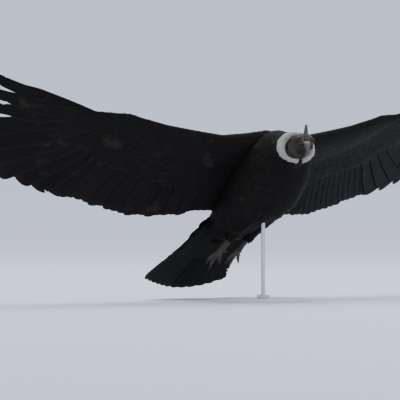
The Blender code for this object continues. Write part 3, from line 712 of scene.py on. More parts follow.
@dataclass(frozen=True)
class PlumageFinish:
    """Black feathers: glossy barbed vanes with browner rims, and white webs where marked."""

    name: str
    dark: Triple = (0.0070, 0.0068, 0.0072)
    warm: Triple = (0.0135, 0.0118, 0.0108)
    rim: Triple = (0.0210, 0.0185, 0.0170)
    shaft: Triple = (0.0180, 0.0150, 0.0135)
    pale: Triple = (0.50, 0.51, 0.52)
    scuff: Triple = (0.032, 0.0270, 0.0220)
    cloud_cells: float = 9.0
    scuff_cells: float = 15.0
    down_cells: float = 260.0
    barb_gap: float = 0.0010
    streak_barbs: int = 7
    gloss: float = 0.52

    def make(self) -> Material:
        """Mixes the finish.

        Returns:
            The material.
        """
        dye = Dye(self.name, self.gloss, Specular_IOR_Level=0.03)
        along, across = dye.read("along"), dye.sum("ABSOLUTE", dye.read("across"))
        barb = dye.read("barb")
        cloud = dye.grain(self.cloud_cells, 4.0)
        tone = dye.sum("MULTIPLY_ADD", cloud, 0.9, -0.25)
        tone = dye.sum("MULTIPLY_ADD", dye.read("tone"), 0.55, tone)
        colour = dye.blend(dye.sum("MAXIMUM", tone, 0.0, clamp=True), self.dark, self.warm)
        scuffed = dye.rise(dye.grain(self.scuff_cells, 5.0, (0.7, 1.0, 1.0)), 0.60, 0.74, end=0.6)
        colour = dye.blend(scuffed, colour, self.scuff)
        streak = dye.sum("MULTIPLY", barb, 2 * math.pi / (self.barb_gap * self.streak_barbs))
        streak = dye.sum("MULTIPLY_ADD", dye.sum("SINE", streak), 0.06, 0.94)
        white = dye.sum("MULTIPLY", dye.read("white"), dye.read("upper"))
        colour = dye.blend(dye.sum("MULTIPLY", white, streak, clamp=True), colour, self.pale)
        fringe = dye.sum("MULTIPLY", dye.rise(across, 0.80, 1.0), 0.45)
        fringe = dye.sum("MAXIMUM", fringe, dye.sum("MULTIPLY", dye.rise(along, 0.90, 1.0), 0.5))
        colour = dye.blend(fringe, colour, self.rim)
        quill = dye.sum("MULTIPLY", dye.rise(across, 0.0, 0.07, 1.0, 0.0), 0.7)
        colour = dye.blend(quill, colour, self.shaft)
        barbs = dye.sum("SINE", dye.sum("MULTIPLY", barb, 2 * math.pi / self.barb_gap))
        normal = dye.bump(barbs, 0.0002, 0.16)
        normal = dye.bump(dye.grain(self.down_cells, 2.0), 0.0004, 0.2, normal)
        return dye.wear(colour, dye.sum("MULTIPLY_ADD", cloud, 0.22, self.gloss - 0.10), normal)


@dataclass(frozen=True)
class DownFinish:
    """White down: chalky, a little cream, and greyer at its roots, with its tones lowered to a light
    grey as painted shade.
    """

    name: str = "ruff_down"
    # Painted shade: the tip and cream tones are a light grey, where white down is much brighter.
    tip: Triple = (0.47, 0.46, 0.44)
    cream: Triple = (0.40, 0.38, 0.34)
    root: Triple = (0.21, 0.195, 0.17)
    fluff_cells: float = 420.0

    def make(self) -> Material:
        """Mixes the finish.

        Returns:
            The material.
        """
        sockets = {"Sheen_Weight": 0.35, "Sheen_Roughness": 0.6}
        dye = Dye(self.name, 0.92, Subsurface_Weight=0.15, Subsurface_Scale=0.004, **sockets)
        colour = dye.blend(dye.read("tone"), self.tip, self.cream)
        colour = dye.blend(dye.rise(dye.read("along"), 0.0, 0.5, 0.75, 0.0), colour, self.root)
        return dye.wear(colour, normal=dye.bump(dye.grain(self.fluff_cells), 0.0006, 0.45))


@dataclass(frozen=True)
class BareSkinFinish:
    """The bare head, comb and neck: dark wrinkled skin, redder and yellower in places, with painted
    shade in its creases and painted light on its left side.
    """

    name: str = "bare_skin"
    crease_shade_and_seam: Triple = (0.005, 0.0042, 0.0042)
    dusk: Triple = (0.0125, 0.0110, 0.0106)
    flush: Triple = (0.029, 0.0165, 0.0148)
    comb: Triple = (0.054, 0.048, 0.047)
    yellow_skin_and_lit_side: Triple = (0.17, 0.14, 0.095)
    patch_cells: float = 42.0
    pebble_cells: float = 620.0
    pore_cells: float = 950.0

    def make(self) -> Material:
        """Mixes the finish.

        Returns:
            The material.
        """
        sockets = {"Subsurface_Weight": 0.1, "Subsurface_Scale": 0.003}
        dye = Dye(self.name, 0.55, Specular_IOR_Level=0.22, **sockets)
        patchy = dye.grain(self.patch_cells, 5.0)
        colour = dye.blend(dye.rise(patchy, 0.42, 0.66), self.dusk, self.flush)
        colour = dye.blend(dye.read("comb"), colour, self.comb)
        # The skin's own yellow, with painted light: it is much stronger on the left side.
        yellow_skin_and_lit_side = dye.sum("MULTIPLY", dye.read("yellow_skin_and_lit_side"), dye.rise(patchy, 0.25, 0.5, 0.7))
        colour = dye.blend(yellow_skin_and_lit_side, colour, self.yellow_skin_and_lit_side)
        pebble = dye.cells(self.pebble_cells)
        crease_shade_and_seams = dye.rise(pebble, 0.0, 0.16, 0.35, 0.0)
        # Painted shade: near-black in the mouth's line and round the eyes, joined to the darker
        # seams between the skin's pebbles.
        crease_shade_and_seams = dye.sum("MAXIMUM", dye.read("painted_crease_shade"), crease_shade_and_seams, clamp=True)
        colour = dye.blend(crease_shade_and_seams, colour, self.crease_shade_and_seam)
        normal = dye.bump(pebble, 0.0006, 0.5)
        normal = dye.bump(dye.grain(self.pore_cells, 2.0), 0.0003, 0.3, normal)
        return dye.wear(colour, dye.sum("MULTIPLY_ADD", patchy, 0.25, 0.38), normal)


@dataclass(frozen=True)
class HornFinish:
    """Bill and claws: dark horn at the base, which may pale to ivory towards the tip."""

    name: str
    base: Triple = (0.020, 0.016, 0.015)
    tip: Triple = (0.098, 0.074, 0.066)
    start: float = 0.50
    full: float = 0.86
    stain_cells: float = 130.0

    def make(self) -> Material:
        """Mixes the finish.

        Returns:
            The material.
        """
        dye = Dye(self.name, 0.42, Specular_IOR_Level=0.25, Coat_Weight=0.04, Coat_Roughness=0.3)
        stain = dye.grain(self.stain_cells, 4.0, (1.0, 0.35, 1.0))
        place = dye.sum("MULTIPLY_ADD", stain, 0.16, dye.sum("ADD", dye.read("ahead"), -0.08))
        colour = dye.blend(dye.rise(place, self.start, self.full), self.base, self.tip)
        stained = tuple(0.55 * c for c in self.tip)
        colour = dye.blend(dye.rise(stain, 0.52, 0.72, end=0.35), colour, stained)
        rough = dye.sum("MULTIPLY_ADD", stain, 0.25, 0.22)
        return dye.wear(colour, rough, dye.bump(stain, 0.0003, 0.25))


@dataclass(frozen=True)
class EyeFinish:
    """A wet brown eye round a black pupil."""

    name: str = "eye"
    pupil: Triple = (0.002, 0.002, 0.002)
    light_iris: Triple = (0.16, 0.062, 0.026)
    dark_iris: Triple = (0.075, 0.028, 0.014)
    rim: Triple = (0.016, 0.012, 0.011)
    fibre_cells: float = 900.0

    def make(self) -> Material:
        """Mixes the finish.

        Returns:
            The material.
        """
        dye = Dye(self.name, 0.08, Specular_IOR_Level=0.22, Coat_Weight=0.25, Coat_Roughness=0.03)
        away = dye.read("away")
        iris = dye.blend(dye.grain(self.fibre_cells, 2.0), self.light_iris, self.dark_iris)
        colour = dye.blend(dye.rise(away, 0.30, 0.36), self.pupil, iris)
        return dye.wear(dye.blend(dye.rise(away, 0.62, 0.74), colour, self.rim))


@dataclass(frozen=True)
class LegFinish:
    """Grey-brown scaled skin, dusty in places and darker in the seams."""

    name: str = "leg_skin"
    scale: Triple = (0.050, 0.036, 0.025)
    dust: Triple = (0.068, 0.054, 0.042)
    seam: Triple = (0.018, 0.014, 0.012)
    scale_cells: float = 330.0
    dust_cells: float = 60.0

    def make(self) -> Material:
        """Mixes the finish.

        Returns:
            The material.
        """
        dye = Dye(self.name, 0.6)
        scales = dye.cells(self.scale_cells)
        dusty = dye.rise(dye.grain(self.dust_cells, 4.0), 0.4, 0.7, end=0.5)
        colour = dye.blend(dusty, self.scale, self.dust)
        # The painted crease shade is read here too. It is set only on the head, so it is nought on
        # the legs.
        seam = dye.sum("MAXIMUM", dye.rise(scales, 0.0, 0.12, 0.8, 0.0), dye.read("painted_crease_shade"))
        colour = dye.blend(seam, colour, self.seam)
        return dye.wear(colour, normal=dye.bump(dye.rise(scales, 0.0, 0.2), 0.0008, 0.6))


@dataclass(frozen=True)
class GrainedFinish:
    """A finish of two near tones in one grain: hidden skin, paint, brushed steel or the backdrop.

    rough is the least roughness and how much the grain adds to it, and relief is the depth and
    strength of its bumps.
    """

    name: str
    tones: tuple[Triple, Triple]
    cells: float
    rough: Pair
    detail: float = 4.0
    stretch: Triple = (1.0, 1.0, 1.0)
    relief: Pair = (0.0, 0.0)
    relief_cells: float = 0.0
    metallic: float = 0.0
    sockets: tuple[tuple[str, float], ...] = ()

    def make(self) -> Material:
        """Mixes the finish.

        Returns:
            The material.
        """
        least, more = self.rough
        dye = Dye(self.name, least, self.metallic, **dict(self.sockets))
        grain = dye.grain(self.cells, self.detail, self.stretch)
        colour = dye.blend(grain, *self.tones)
        roughness = dye.sum("MULTIPLY_ADD", grain, more, least) if more else None
        bumps = dye.grain(self.relief_cells, 2.0) if self.relief_cells else grain
        normal = dye.bump(bumps, *self.relief) if any(self.relief) else None
        return dye.wear(colour, roughness, normal)


HIDDEN_SKIN = GrainedFinish(
    "feathered_skin", ((0.0022, 0.0022, 0.0026), (0.0056, 0.0050, 0.0048)), 220.0, (0.8, 0.0),
    relief=(0.002, 0.6), sockets=(("Specular_IOR_Level", 0.1),),
)
STAND_PAINT = GrainedFinish(
    "stand_paint", ((0.60, 0.61, 0.62), (0.66, 0.66, 0.65)), 7.0, (0.34, 0.16),
    relief=(0.0002, 0.3), relief_cells=420.0,
    sockets=(("Coat_Weight", 0.15), ("Coat_Roughness", 0.35)),
)
STAND_STEEL = GrainedFinish(
    "stand_steel", ((0.50, 0.51, 0.52), (0.62, 0.63, 0.64)), 90.0, (0.22, 0.2),
    stretch=(1.0, 1.0, 22.0), relief=(0.0001, 0.3), metallic=1.0,
)
BACKDROP = GrainedFinish(
    "backdrop", ((0.76, 0.79, 0.88), (0.7296, 0.7584, 0.8448)), 0.35, (0.95, 0.0), detail=2.0,
    sockets=(("Specular_IOR_Level", 0.1),),
)


@dataclass(frozen=True)
class WingSheet:
    """The left wing's curved sheet, with the arm and hand in it."""

    span_at: Floats = (0.0, 0.12, 0.35, 0.62, 0.85, 1.15, 1.60)
    dihedral: Floats = (9.0, 10.0, 11.0, 13.0, 13.0, 17.0, 40.0)
    incidence: Floats = (14.0, 14.0, 14.0, 14.5, 14.5, 14.5, 14.5)
    root_height: float = 0.102
    camber: float = 0.018
    crest_at: float = -0.12
    camber_reach: float = 0.3
    step: float = 0.01
    end: float = 1.70
    arm_at: Floats = (0.04, 0.12, 0.22, 0.35, 0.48, 0.60, 0.66, 0.74, 0.83)
    leading: Floats = (0.172, 0.142, 0.114, 0.115, 0.117, 0.127, 0.135, 0.121, 0.109)
    rear: Floats = (-0.12, -0.11, -0.10, -0.08, -0.055, -0.025, 0.0, 0.045, 0.095)
    thickness: Floats = (0.085, 0.078, 0.062, 0.052, 0.044, 0.038, 0.032, 0.024, 0.011)
    rear_half: float = 0.003
    nose_share: float = 1.02
    section: Floats = (0.2969, 0.126, 0.3516, 0.2843, 0.1036)

    def axis(self) -> tuple[Array, Array, Array, Array]:
        """Follows the span line out from the root.

        Returns:
            Places along it, and X, the height and the dihedral angle there.
        """
        places = np.arange(round(self.end / self.step) + 1) * self.step
        angle = np.radians(curve_through(self.span_at, self.dihedral, places))
        x = np.concatenate([[0.0], np.cumsum(np.cos(angle[:-1]) * self.step)])
        z = self.root_height + np.concatenate([[0.0], np.cumsum(np.sin(angle[:-1]) * self.step)])
        return places, x, z, angle

    def point(self, span: Array, forward: Array, height: Array) -> Array:
        """Finds points over the sheet.

        Args:
            span: How far along the span.
            forward: How far ahead of it.
            height: How far above the sheet.

        Returns:
            The points, in the bird's frame.
        """
        places, x, z, angles = self.axis()
        angle = np.interp(span, places, angles)
        tilt = np.radians(curve_through(self.span_at, self.incidence, span))
        over = height - self.camber * ((forward - self.crest_at) / self.camber_reach) ** 2
        rise = np.sin(tilt) * forward + np.cos(tilt) * over
        ahead = np.cos(tilt) * forward - np.sin(tilt) * over
        across = np.interp(span, places, x) - np.sin(angle) * rise
        up = np.interp(span, places, z) + np.cos(angle) * rise
        return np.stack([across, -ahead, up], axis=-1)

    def _arm(self, span: Array) -> list[Array]:
        """The leading edge, rear edge and thickness of the arm at places along the span."""
        tables = (self.leading, self.rear, self.thickness)
        return [np.interp(span, self.arm_at, table) for table in tables]

    def nose_radius(self, span: Array) -> Array:
        """The radius of the arm's rounded leading edge."""
        lead, rear, thick = self._arm(span)
        return self.nose_share * thick**2 / (lead - rear)

    def edge(self, span: Array, share: Array | float) -> Array:
        """How far ahead the arm's section is, from its leading edge (0) to its rear (1)."""
        lead, rear, _ = self._arm(span)
        return lead + (rear - lead) * share

    def arm_half(self, span: Array, forward: Array) -> tuple[Array, Array]:
        """Measures the arm's section at places on the sheet.

        Args:
            span: How far along the span.
            forward: How far ahead of it.

        Returns:
            Half the arm's thickness, and the place's share of the way back across the section.
        """
        lead, rear, thick = self._arm(span)
        u = np.clip((lead - forward) / (lead - rear), 0.0, 1.0)
        a, b, c, d, e = self.section
        half = 5 * thick * (a * np.sqrt(u) - b * u - c * u**2 + d * u**3 - e * u**4)
        return np.maximum(half, self.rear_half * np.minimum(1.0, 8 * u)), u


@dataclass(frozen=True)
class Row:
    """One row of coverts: its share of the way back across the arm, their spacing and size."""

    share: float
    step: float
    length: float
    reach: float


@dataclass(frozen=True)
class Wing:
    """One wing: its flight feathers, the coverts on both faces, the alula and the scapulars."""

    side: Side
    vanes: Material
    plumage: Material
    rng: Draws
    sheet: WingSheet = WingSheet()
    secondaries: int = 24
    tertials: int = 4
    primaries: int = 10
    fingers: int = 4
    secondary_lengths: Floats = (
        0.284, 0.290, 0.296, 0.304, 0.320, 0.340, 0.359, 0.376, 0.388,
        0.397, 0.402, 0.404, 0.405, 0.407, 0.411, 0.418, 0.428,
    )
    primary_lengths: Floats = (
        0.438, 0.462, 0.488, 0.540, 0.600, 0.655, 0.695, 0.715, 0.700, 0.640,
    )
    arm_line: Line = Line(Ramp(0.105, 0.515), Ramp(0.03, 0.06), Ramp(-8.0, 31.0, 1.3))
    tertial_line: Line = Line(Ramp(0.052, 0.045), Ramp(0.020, 0.008), Ramp(-20.0, 10.0))
    hand_line: Line = Line(Ramp(0.645, 0.155), Ramp(0.092, 0.014), Ramp(26.5, 71.0))
    arm_covert_line: Line = Line(Ramp(0.117, 0.515), Ramp(0.024, 0.06), Ramp(-8.0, 31.0, 1.3))
    hand_covert_line: Line = Line(Ramp(0.657, 0.155), Ramp(0.086, 0.014), Ramp(26.5, 71.0))
    alula_line: Line = Line(Ramp(0.655, -0.012), Ramp(0.112, -0.012), Ramp(74.0, -12.0))
    wrist: float = 0.632
    greater_shares: Pair = (0.60, 0.52)
    upper_marginal: Row = Row(0.84, 0.0150, 0.062, 0.018)
    lower_marginal: Row = Row(0.84, 0.0150, 0.115, 0.018)
    median_rows: tuple[Row, ...] = (
        Row(0.70, 0.0140, 0.090, 0.017), Row(0.58, 0.0135, 0.082, 0.016),
    )
    lesser_rows: tuple[Row, ...] = (
        Row(0.50, 0.0140, 0.078, 0.0150), Row(0.41, 0.0130, 0.068, 0.0140),
        Row(0.33, 0.0125, 0.060, 0.0130), Row(0.26, 0.0120, 0.052, 0.0120),
        Row(0.19, 0.0110, 0.045, 0.0110), Row(0.135, 0.0100, 0.038, 0.0100),
        Row(0.085, 0.0095, 0.032, 0.0090), Row(0.045, 0.0090, 0.027, 0.0080),
        Row(0.020, 0.0080, 0.024, 0.0075), Row(0.007, 0.0072, 0.021, 0.0070),
    )
    nose_turns: Floats = (-1.0, 1.0, -0.5, 0.5, 0.0)
    inboard: float = 0.048
    outboard: float = 0.835
    nose_span: Triple = (0.014, 0.825, 0.0080)
    bed: float = 0.0085
    bed_from: float = 0.35
    scapular_span: Pair = (0.045, 0.135)
    scapular_ahead: Pair = (0.10, -0.11)
    scapular_depth: float = 0.21
    bake_size: Pair = (0.95, 0.35)

    secondary_cut: Cut = Cut(
        outline=((0.0, 0.45), (0.2, 0.9), (0.6, 1.04), (0.9, 1.0), (1.0, 0.9)), tip=0.90,
        columns=TEN_COLUMNS, rows=46, thick=0.0010, shaft=0.0006, droop=0.45, splits=2, fray=0.012,
    )
    primary_cut: Cut = Cut(
        outline=((0.0, 0.45), (0.18, 0.88), (0.6, 1.05), (0.9, 0.98), (1.0, 0.82)), tip=0.94,
        columns=TEN_COLUMNS, rows=50, thick=0.0012, shaft=0.0010, droop=0.45, splits=2, fray=0.012,
    )
    finger_cut: Cut = Cut(
        outline=((0.0, 0.45), (0.18, 0.86), (0.44, 1.05), (0.56, 0.70), (0.92, 0.60), (1.0, 0.50)),
        tip=0.93, columns=(-1.0, -0.72, -0.42, -0.16, -0.04, 0.0, 0.07, 0.32, 0.66, 1.0), rows=60,
        thick=0.0012, shaft=0.0011, droop=0.6, splits=4, fray=0.014,
    )
    covert_cut: Cut = Cut(
        outline=((0.0, 0.6), (0.45, 0.95), (0.8, 1.0), (1.0, 0.85)), tip=0.86,
        columns=(-1.0, -0.55, -0.07, 0.0, 0.08, 0.55, 1.0), rows=11,
        thick=0.0008, shaft=0.0003, droop=1.2, splits=1, fray=0.015,
    )
    lesser_cut: Cut = Cut(
        outline=((0.0, 0.6), (0.45, 1.0), (0.75, 1.0), (1.0, 0.8)), tip=0.72,
        columns=FIVE_COLUMNS, rows=6, thick=0.0009, droop=2.5, fray=0.03,
    )

    def build(self) -> list[Object]:
        """All the wing's pieces."""
        pieces = [self.flight(), *self.coverts(Face.UPPER), *self.coverts(Face.LOWER)]
        return [*pieces, self.alula(), self.scapulars()]

    def on_sheet(self, x: Array, y: Array, height: Array) -> Array:
        """Points of this side's sheet, in the stand's frame."""
        points = self.sheet.point(x, y, height) * (self.side.value, 1, 1)
        return POSE.to_world(points)

    def on_face(self, face: Face, x: Array, y: Array, height: Array) -> Array:
        """Points over one face of the sheet, in the stand's frame."""
        return self.on_sheet(x, y, face.value * height)

    def over_arm(self, face: Face, x: Array, y: Array, height: Array) -> Array:
        """Finds points over the arm's upper or lower surface, on which its small feathers lie.

        Args:
            face: The upper or lower face.
            x: How far along the span.
            y: How far ahead.
            height: How far over the surface.

        Returns:
            The points, in the stand's frame.
        """
        half, back = self.sheet.arm_half(x, y)
        cover = np.maximum(0.93 * half, self.bed * np.sqrt(np.clip(back / self.bed_from, 0, 1)))
        return self.on_face(face, x, y, cover + height)

    def round_nose(self, x: Array, y: Array, height: Array) -> Array:
        """Finds points round the leading edge.

        Args:
            x: How far along the span.
            y: How far round the edge, from its foremost line up.
            height: How far over it.

        Returns:
            The points, in the stand's frame.
        """
        radius = self.sheet.nose_radius(x)
        ahead = self.sheet.edge(x, 0.0) - radius + (radius + height) * np.cos(y / radius)
        return self.on_sheet(x, ahead, (radius + height) * np.sin(y / radius))

    def lie(self, span: Array) -> Array:
        """Which way the feathers point at a place along the span, outward from straight back."""
        arm, hand = (line.angle(line.span.share(span)) for line in (self.arm_line, self.hand_line))
        return np.where(span < self.wrist, arm, hand)

    def flight(self) -> Object:
        """Builds the secondaries, tertials and primaries.

        Returns:
            The piece.
        """
        coat = Coat(f"{self.side.label}_wing_flight", self.secondary_cut.top)
        total = self.secondaries + self.primaries + self.tertials
        t = np.linspace(0, 1, self.secondaries)
        tract = Tract(
            root=self.arm_line.root(t),
            angle=self.arm_line.angle(t) + self.rng.normal(0, 0.006, self.secondaries),
            length=self.secondary_length(t) * (1 + self.rng.normal(0, 0.008, self.secondaries)),
            reach=(0.042, 0.028), lift=(0.004, 0.0), roll=0.042,
            white=0.85 * smooth_step(0.02, 0.15, t),
        )
        places = strips(self.secondaries, total)
        layers = coat.plant(self.on_sheet, self.secondary_cut, tract, places, self.rng)
        self._mark_outer_web(layers, 0.86)
        t = np.linspace(0, 1, self.tertials)
        tract = Tract(
            root=self.tertial_line.root(t), angle=self.tertial_line.angle(t),
            length=0.262 + 0.018 * t, reach=(0.040, 0.026), lift=(0.004, 0.0), roll=0.055,
        )
        places = strips(self.tertials, total, total - self.tertials)
        coat.plant(self.on_sheet, self.secondary_cut, tract, places, self.rng)
        self._primaries(coat, total)
        piece = coat.build(self.vanes, "flight_feathers")
        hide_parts(f"{self.side.label}_wing")
        return piece

    def _primaries(self, coat: Coat, total: int) -> None:
        """Adds the hand's feathers, of which the outermost are narrowed to fingers.

        Args:
            coat: The wing's flight feathers.
            total: How many of those there are in all.
        """
        t = np.linspace(0, 1, self.primaries)
        rank = np.arange(1, self.primaries + 1)
        whole = self.primaries - self.fingers
        inner = rank <= whole
        values = {
            "root": self.hand_line.root(t),
            "angle": self.hand_line.angle(t),
            "length": np.array(self.primary_lengths) * np.where(inner, 0.985, 1.004),
            "reach": paired(0.050 + 0.022 * inner, 0.022 + 0.016 * inner),
            "lift": paired(0.004 - 0.0009 * rank, 0.0),
            "roll": np.where(inner, 0.042, 0.07),
            "white": 0.55 * (1 - smooth_step(0.0, 0.7, t)),
        }
        hand = ((0, whole, self.primary_cut), (whole, self.primaries, self.finger_cut))
        for low, high, cut in hand:
            tract = Tract(**{key: value[low:high] for key, value in values.items()})
            places = strips(high - low, total, self.secondaries + low)
            layers = coat.plant(self.on_sheet, cut, tract, places, self.rng)
            self._mark_outer_web(layers, 0.7)

    def secondary_length(self, share: Array) -> Array:
        """The secondaries' lengths at shares of their row."""
        at = np.linspace(0, 1, len(self.secondary_lengths))
        return curve_through(at, self.secondary_lengths, share)

    @staticmethod
    def _mark_outer_web(layers: Layers, until: float) -> None:
        """Leaves the white on the outer web, up to a share of the feathers' length."""
        layers["white"] = (
            layers["white"]
            * smooth_step(0.0, 0.12, layers["across"])
            * smooth_step(0.26, 0.38, layers["along"])
            * (1 - smooth_step(until - 0.14, until + 0.02, layers["along"]))
        )

    def coverts(self, face: Face) -> list[Object]:
        """Builds the coverts of one face, from the flight feathers forward.

        Args:
            face: The upper or lower face.

        Returns:
            The piece of greater and median coverts, and the piece of lesser ones.
        """
        stem = f"{self.side.label}_wing_{face.label}"
        large = Coat(f"{stem}_coverts", self.covert_cut.top)
        small = Coat(f"{stem}_lesser", self.lesser_cut.top)
        upper = face is Face.UPPER
        self._greater_coverts(large, face)
        for row in (self.upper_marginal if upper else self.lower_marginal, *self.median_rows):
            self._row(large, face, row, self.covert_cut)
        for row in self.lesser_rows:
            self._row(small, face, row, self.lesser_cut)
        if upper:
            self._nose_rows(small)
        return [large.build(self.vanes, "flight_feathers"), small.build(self.vanes, "dark_plumage")]

    def _greater_coverts(self, coat: Coat, face: Face) -> None:
        """Adds the greater coverts of the arm and of the hand.

        Args:
            coat: Their piece.
            face: The upper or lower face; the arm's are white on the upper one.
        """
        upper = face is Face.UPPER
        surface = partial(self.on_face, face)
        t = np.linspace(0, 1, self.secondaries + 2)
        root = self.arm_covert_line.root(t)
        length = self.greater_shares[0 if upper else 1] * self.secondary_length(t)
        tract = Tract(
            root=root, angle=self.lie(root[:, 0]),
            length=length * (1 + self.rng.normal(0, 0.02, len(t))),
            reach=(0.028, 0.020), lift=(0.0085, 0.0068), roll=0.05, white=0.80 if upper else 0.0,
        )
        layers = coat.plant(surface, self.covert_cut, tract, self._bake_places(root), self.rng)
        along = layers["along"]
        banded = smooth_step(0.42, 0.50, along) * (1 - smooth_step(0.80, 0.93, along))
        layers["white"] = layers["white"] * banded
        t = np.linspace(0, 0.94, self.primaries + 1)
        root = self.hand_covert_line.root(t)
        lengths = np.interp(t, np.linspace(0, 1, self.primaries), self.primary_lengths)
        tract = Tract(
            root=root, angle=self.hand_covert_line.angle(t), length=0.42 * lengths,
            reach=(0.030, 0.020), lift=(0.0070, 0.0062), roll=0.05,
        )
        coat.plant(surface, self.covert_cut, tract, self._bake_places(root), self.rng)

    def _row(self, coat: Coat, face: Face, row: Row, cut: Cut) -> None:
        """Adds one row of coverts along the arm.

        Args:
            coat: Their piece.
            face: The upper or lower face.
            row: Where they lie, and their size.
            cut: Their make.
        """
        span = np.arange(self.inboard, self.outboard, row.step)
        count = len(span)
        span = span + self.rng.normal(0, 0.12 * row.step, count)
        taper = 1 - 0.25 * smooth_step(0.55, 0.83, span)
        root = paired(span, self.sheet.edge(span, row.share) + self.rng.normal(0, 0.0015, count))
        tract = Tract(
            root=root,
            angle=self.lie(span) * (0.55 + 0.45 * row.share) + self.rng.normal(0, 0.05, count),
            lift=paired(-0.0035, self.rng.uniform(0.0012, 0.0030, count)),
            length=row.length * taper * self.rng.uniform(0.9, 1.1, count),
            reach=paired(row.reach * taper, row.reach * taper),
        )
        coat.plant(partial(self.over_arm, face), cut, tract, self._bake_places(root), self.rng)

    def _nose_rows(self, coat: Coat) -> None:
        """Adds the smallest coverts, which close the leading edge from face to face.

        Args:
            coat: Their piece.
        """
        for turn in self.nose_turns:
            span = np.arange(*self.nose_span)
            count = len(span)
            span = span + self.rng.normal(0, 0.001, count)
            radius = self.sheet.nose_radius(span)
            reach = 0.0022 + 0.30 * radius
            tract = Tract(
                root=paired(span, turn * radius),
                angle=math.pi / 2 + 0.35 * turn + self.rng.normal(0, 0.06, count),
                lift=paired(-0.0020, self.rng.uniform(0.0001, 0.0009, count)),
                length=0.022 * self.rng.uniform(0.9, 1.1, count),
                reach=paired(reach, reach),
            )
            places = self._bake_places(paired(span, self.sheet.edge(span, 0.0)))
            coat.plant(self.round_nose, self.lesser_cut, tract, places, self.rng)

    def _bake_places(self, root: Array) -> Array:
        """The feathers' places on the bake map, from their roots on the flattened wing."""
        width, height = self.bake_size
        return patches_at(paired(root[:, 0] / width, (root[:, 1] + 0.15) / height))

    def scapulars(self) -> Object:
        """Builds the long shoulder feathers that close the join of the back and the wing.

        Returns:
            The piece.
        """
        coat = Coat(f"{self.side.label}_scapulars", self.covert_cut.top)
        columns, rows = 6, 12
        front, back = self.scapular_ahead
        spans, aheads = np.linspace(*self.scapular_span, columns), np.linspace(front, back, rows)
        span, ahead = np.meshgrid(spans, aheads)
        span = span + 0.008 * (np.arange(rows) % 2)[:, None]
        share = (front - ahead.ravel()) / self.scapular_depth
        reach = 0.012 + 0.005 * share
        root = paired(span.ravel(), ahead.ravel()) + self.rng.normal(0, 0.003, (span.size, 2))
        tract = Tract(
            root=root, angle=np.radians(-7.0) + self.rng.normal(0, 0.05, span.size),
            length=0.060 + 0.065 * share, reach=paired(reach, reach),
            lift=paired(-0.001, 0.004 + 0.004 * share),
        )
        surface = partial(self.over_arm, Face.UPPER)
        coat.plant(surface, self.covert_cut, tract, self._bake_places(root), self.rng)
        return coat.build(self.plumage, "dark_plumage")

    def alula(self) -> Object:
        """Builds the thumb's four stiff feathers, laid along the hand's leading edge.

        Returns:
            The piece.
        """
        coat = Coat(f"{self.side.label}_alula", self.covert_cut.top)
        count = 4
        t = np.linspace(0, 1, count)
        tract = Tract(
            root=self.alula_line.root(t), angle=self.alula_line.angle(t), length=0.135 - 0.020 * t,
            reach=(0.013, 0.009), lift=(0.006, 0.0085), roll=0.05,
        )
        surface = partial(self.over_arm, Face.UPPER)
        coat.plant(surface, self.covert_cut, tract, strips(count, count), self.rng)
        return coat.build(self.vanes, "flight_feathers")

    def arm(self, rings: int = 60, points: int = 24) -> Array:
        """Shapes the arm under its feathers.

        Args:
            rings: How many rings.
            points: How many points each ring has on one face.

        Returns:
            The rings, in the bird's frame.
        """
        span = np.linspace(0.03, 0.825, rings)[:, None]
        u = (np.arange(points + 1) / points) ** 1.7
        ahead = self.sheet.edge(span, 0.04 + 0.96 * u[None, :])
        half, _ = self.sheet.arm_half(span, ahead)
        half = 0.72 * half * np.minimum(1.0, 6 * u[None, :])
        upper, lower = (self.sheet.point(span + 0 * ahead, ahead, sign * half) for sign in (1, -1))
        return np.concatenate([upper, lower[:, -1:0:-1]], axis=1) * (self.side.value, 1, 1)


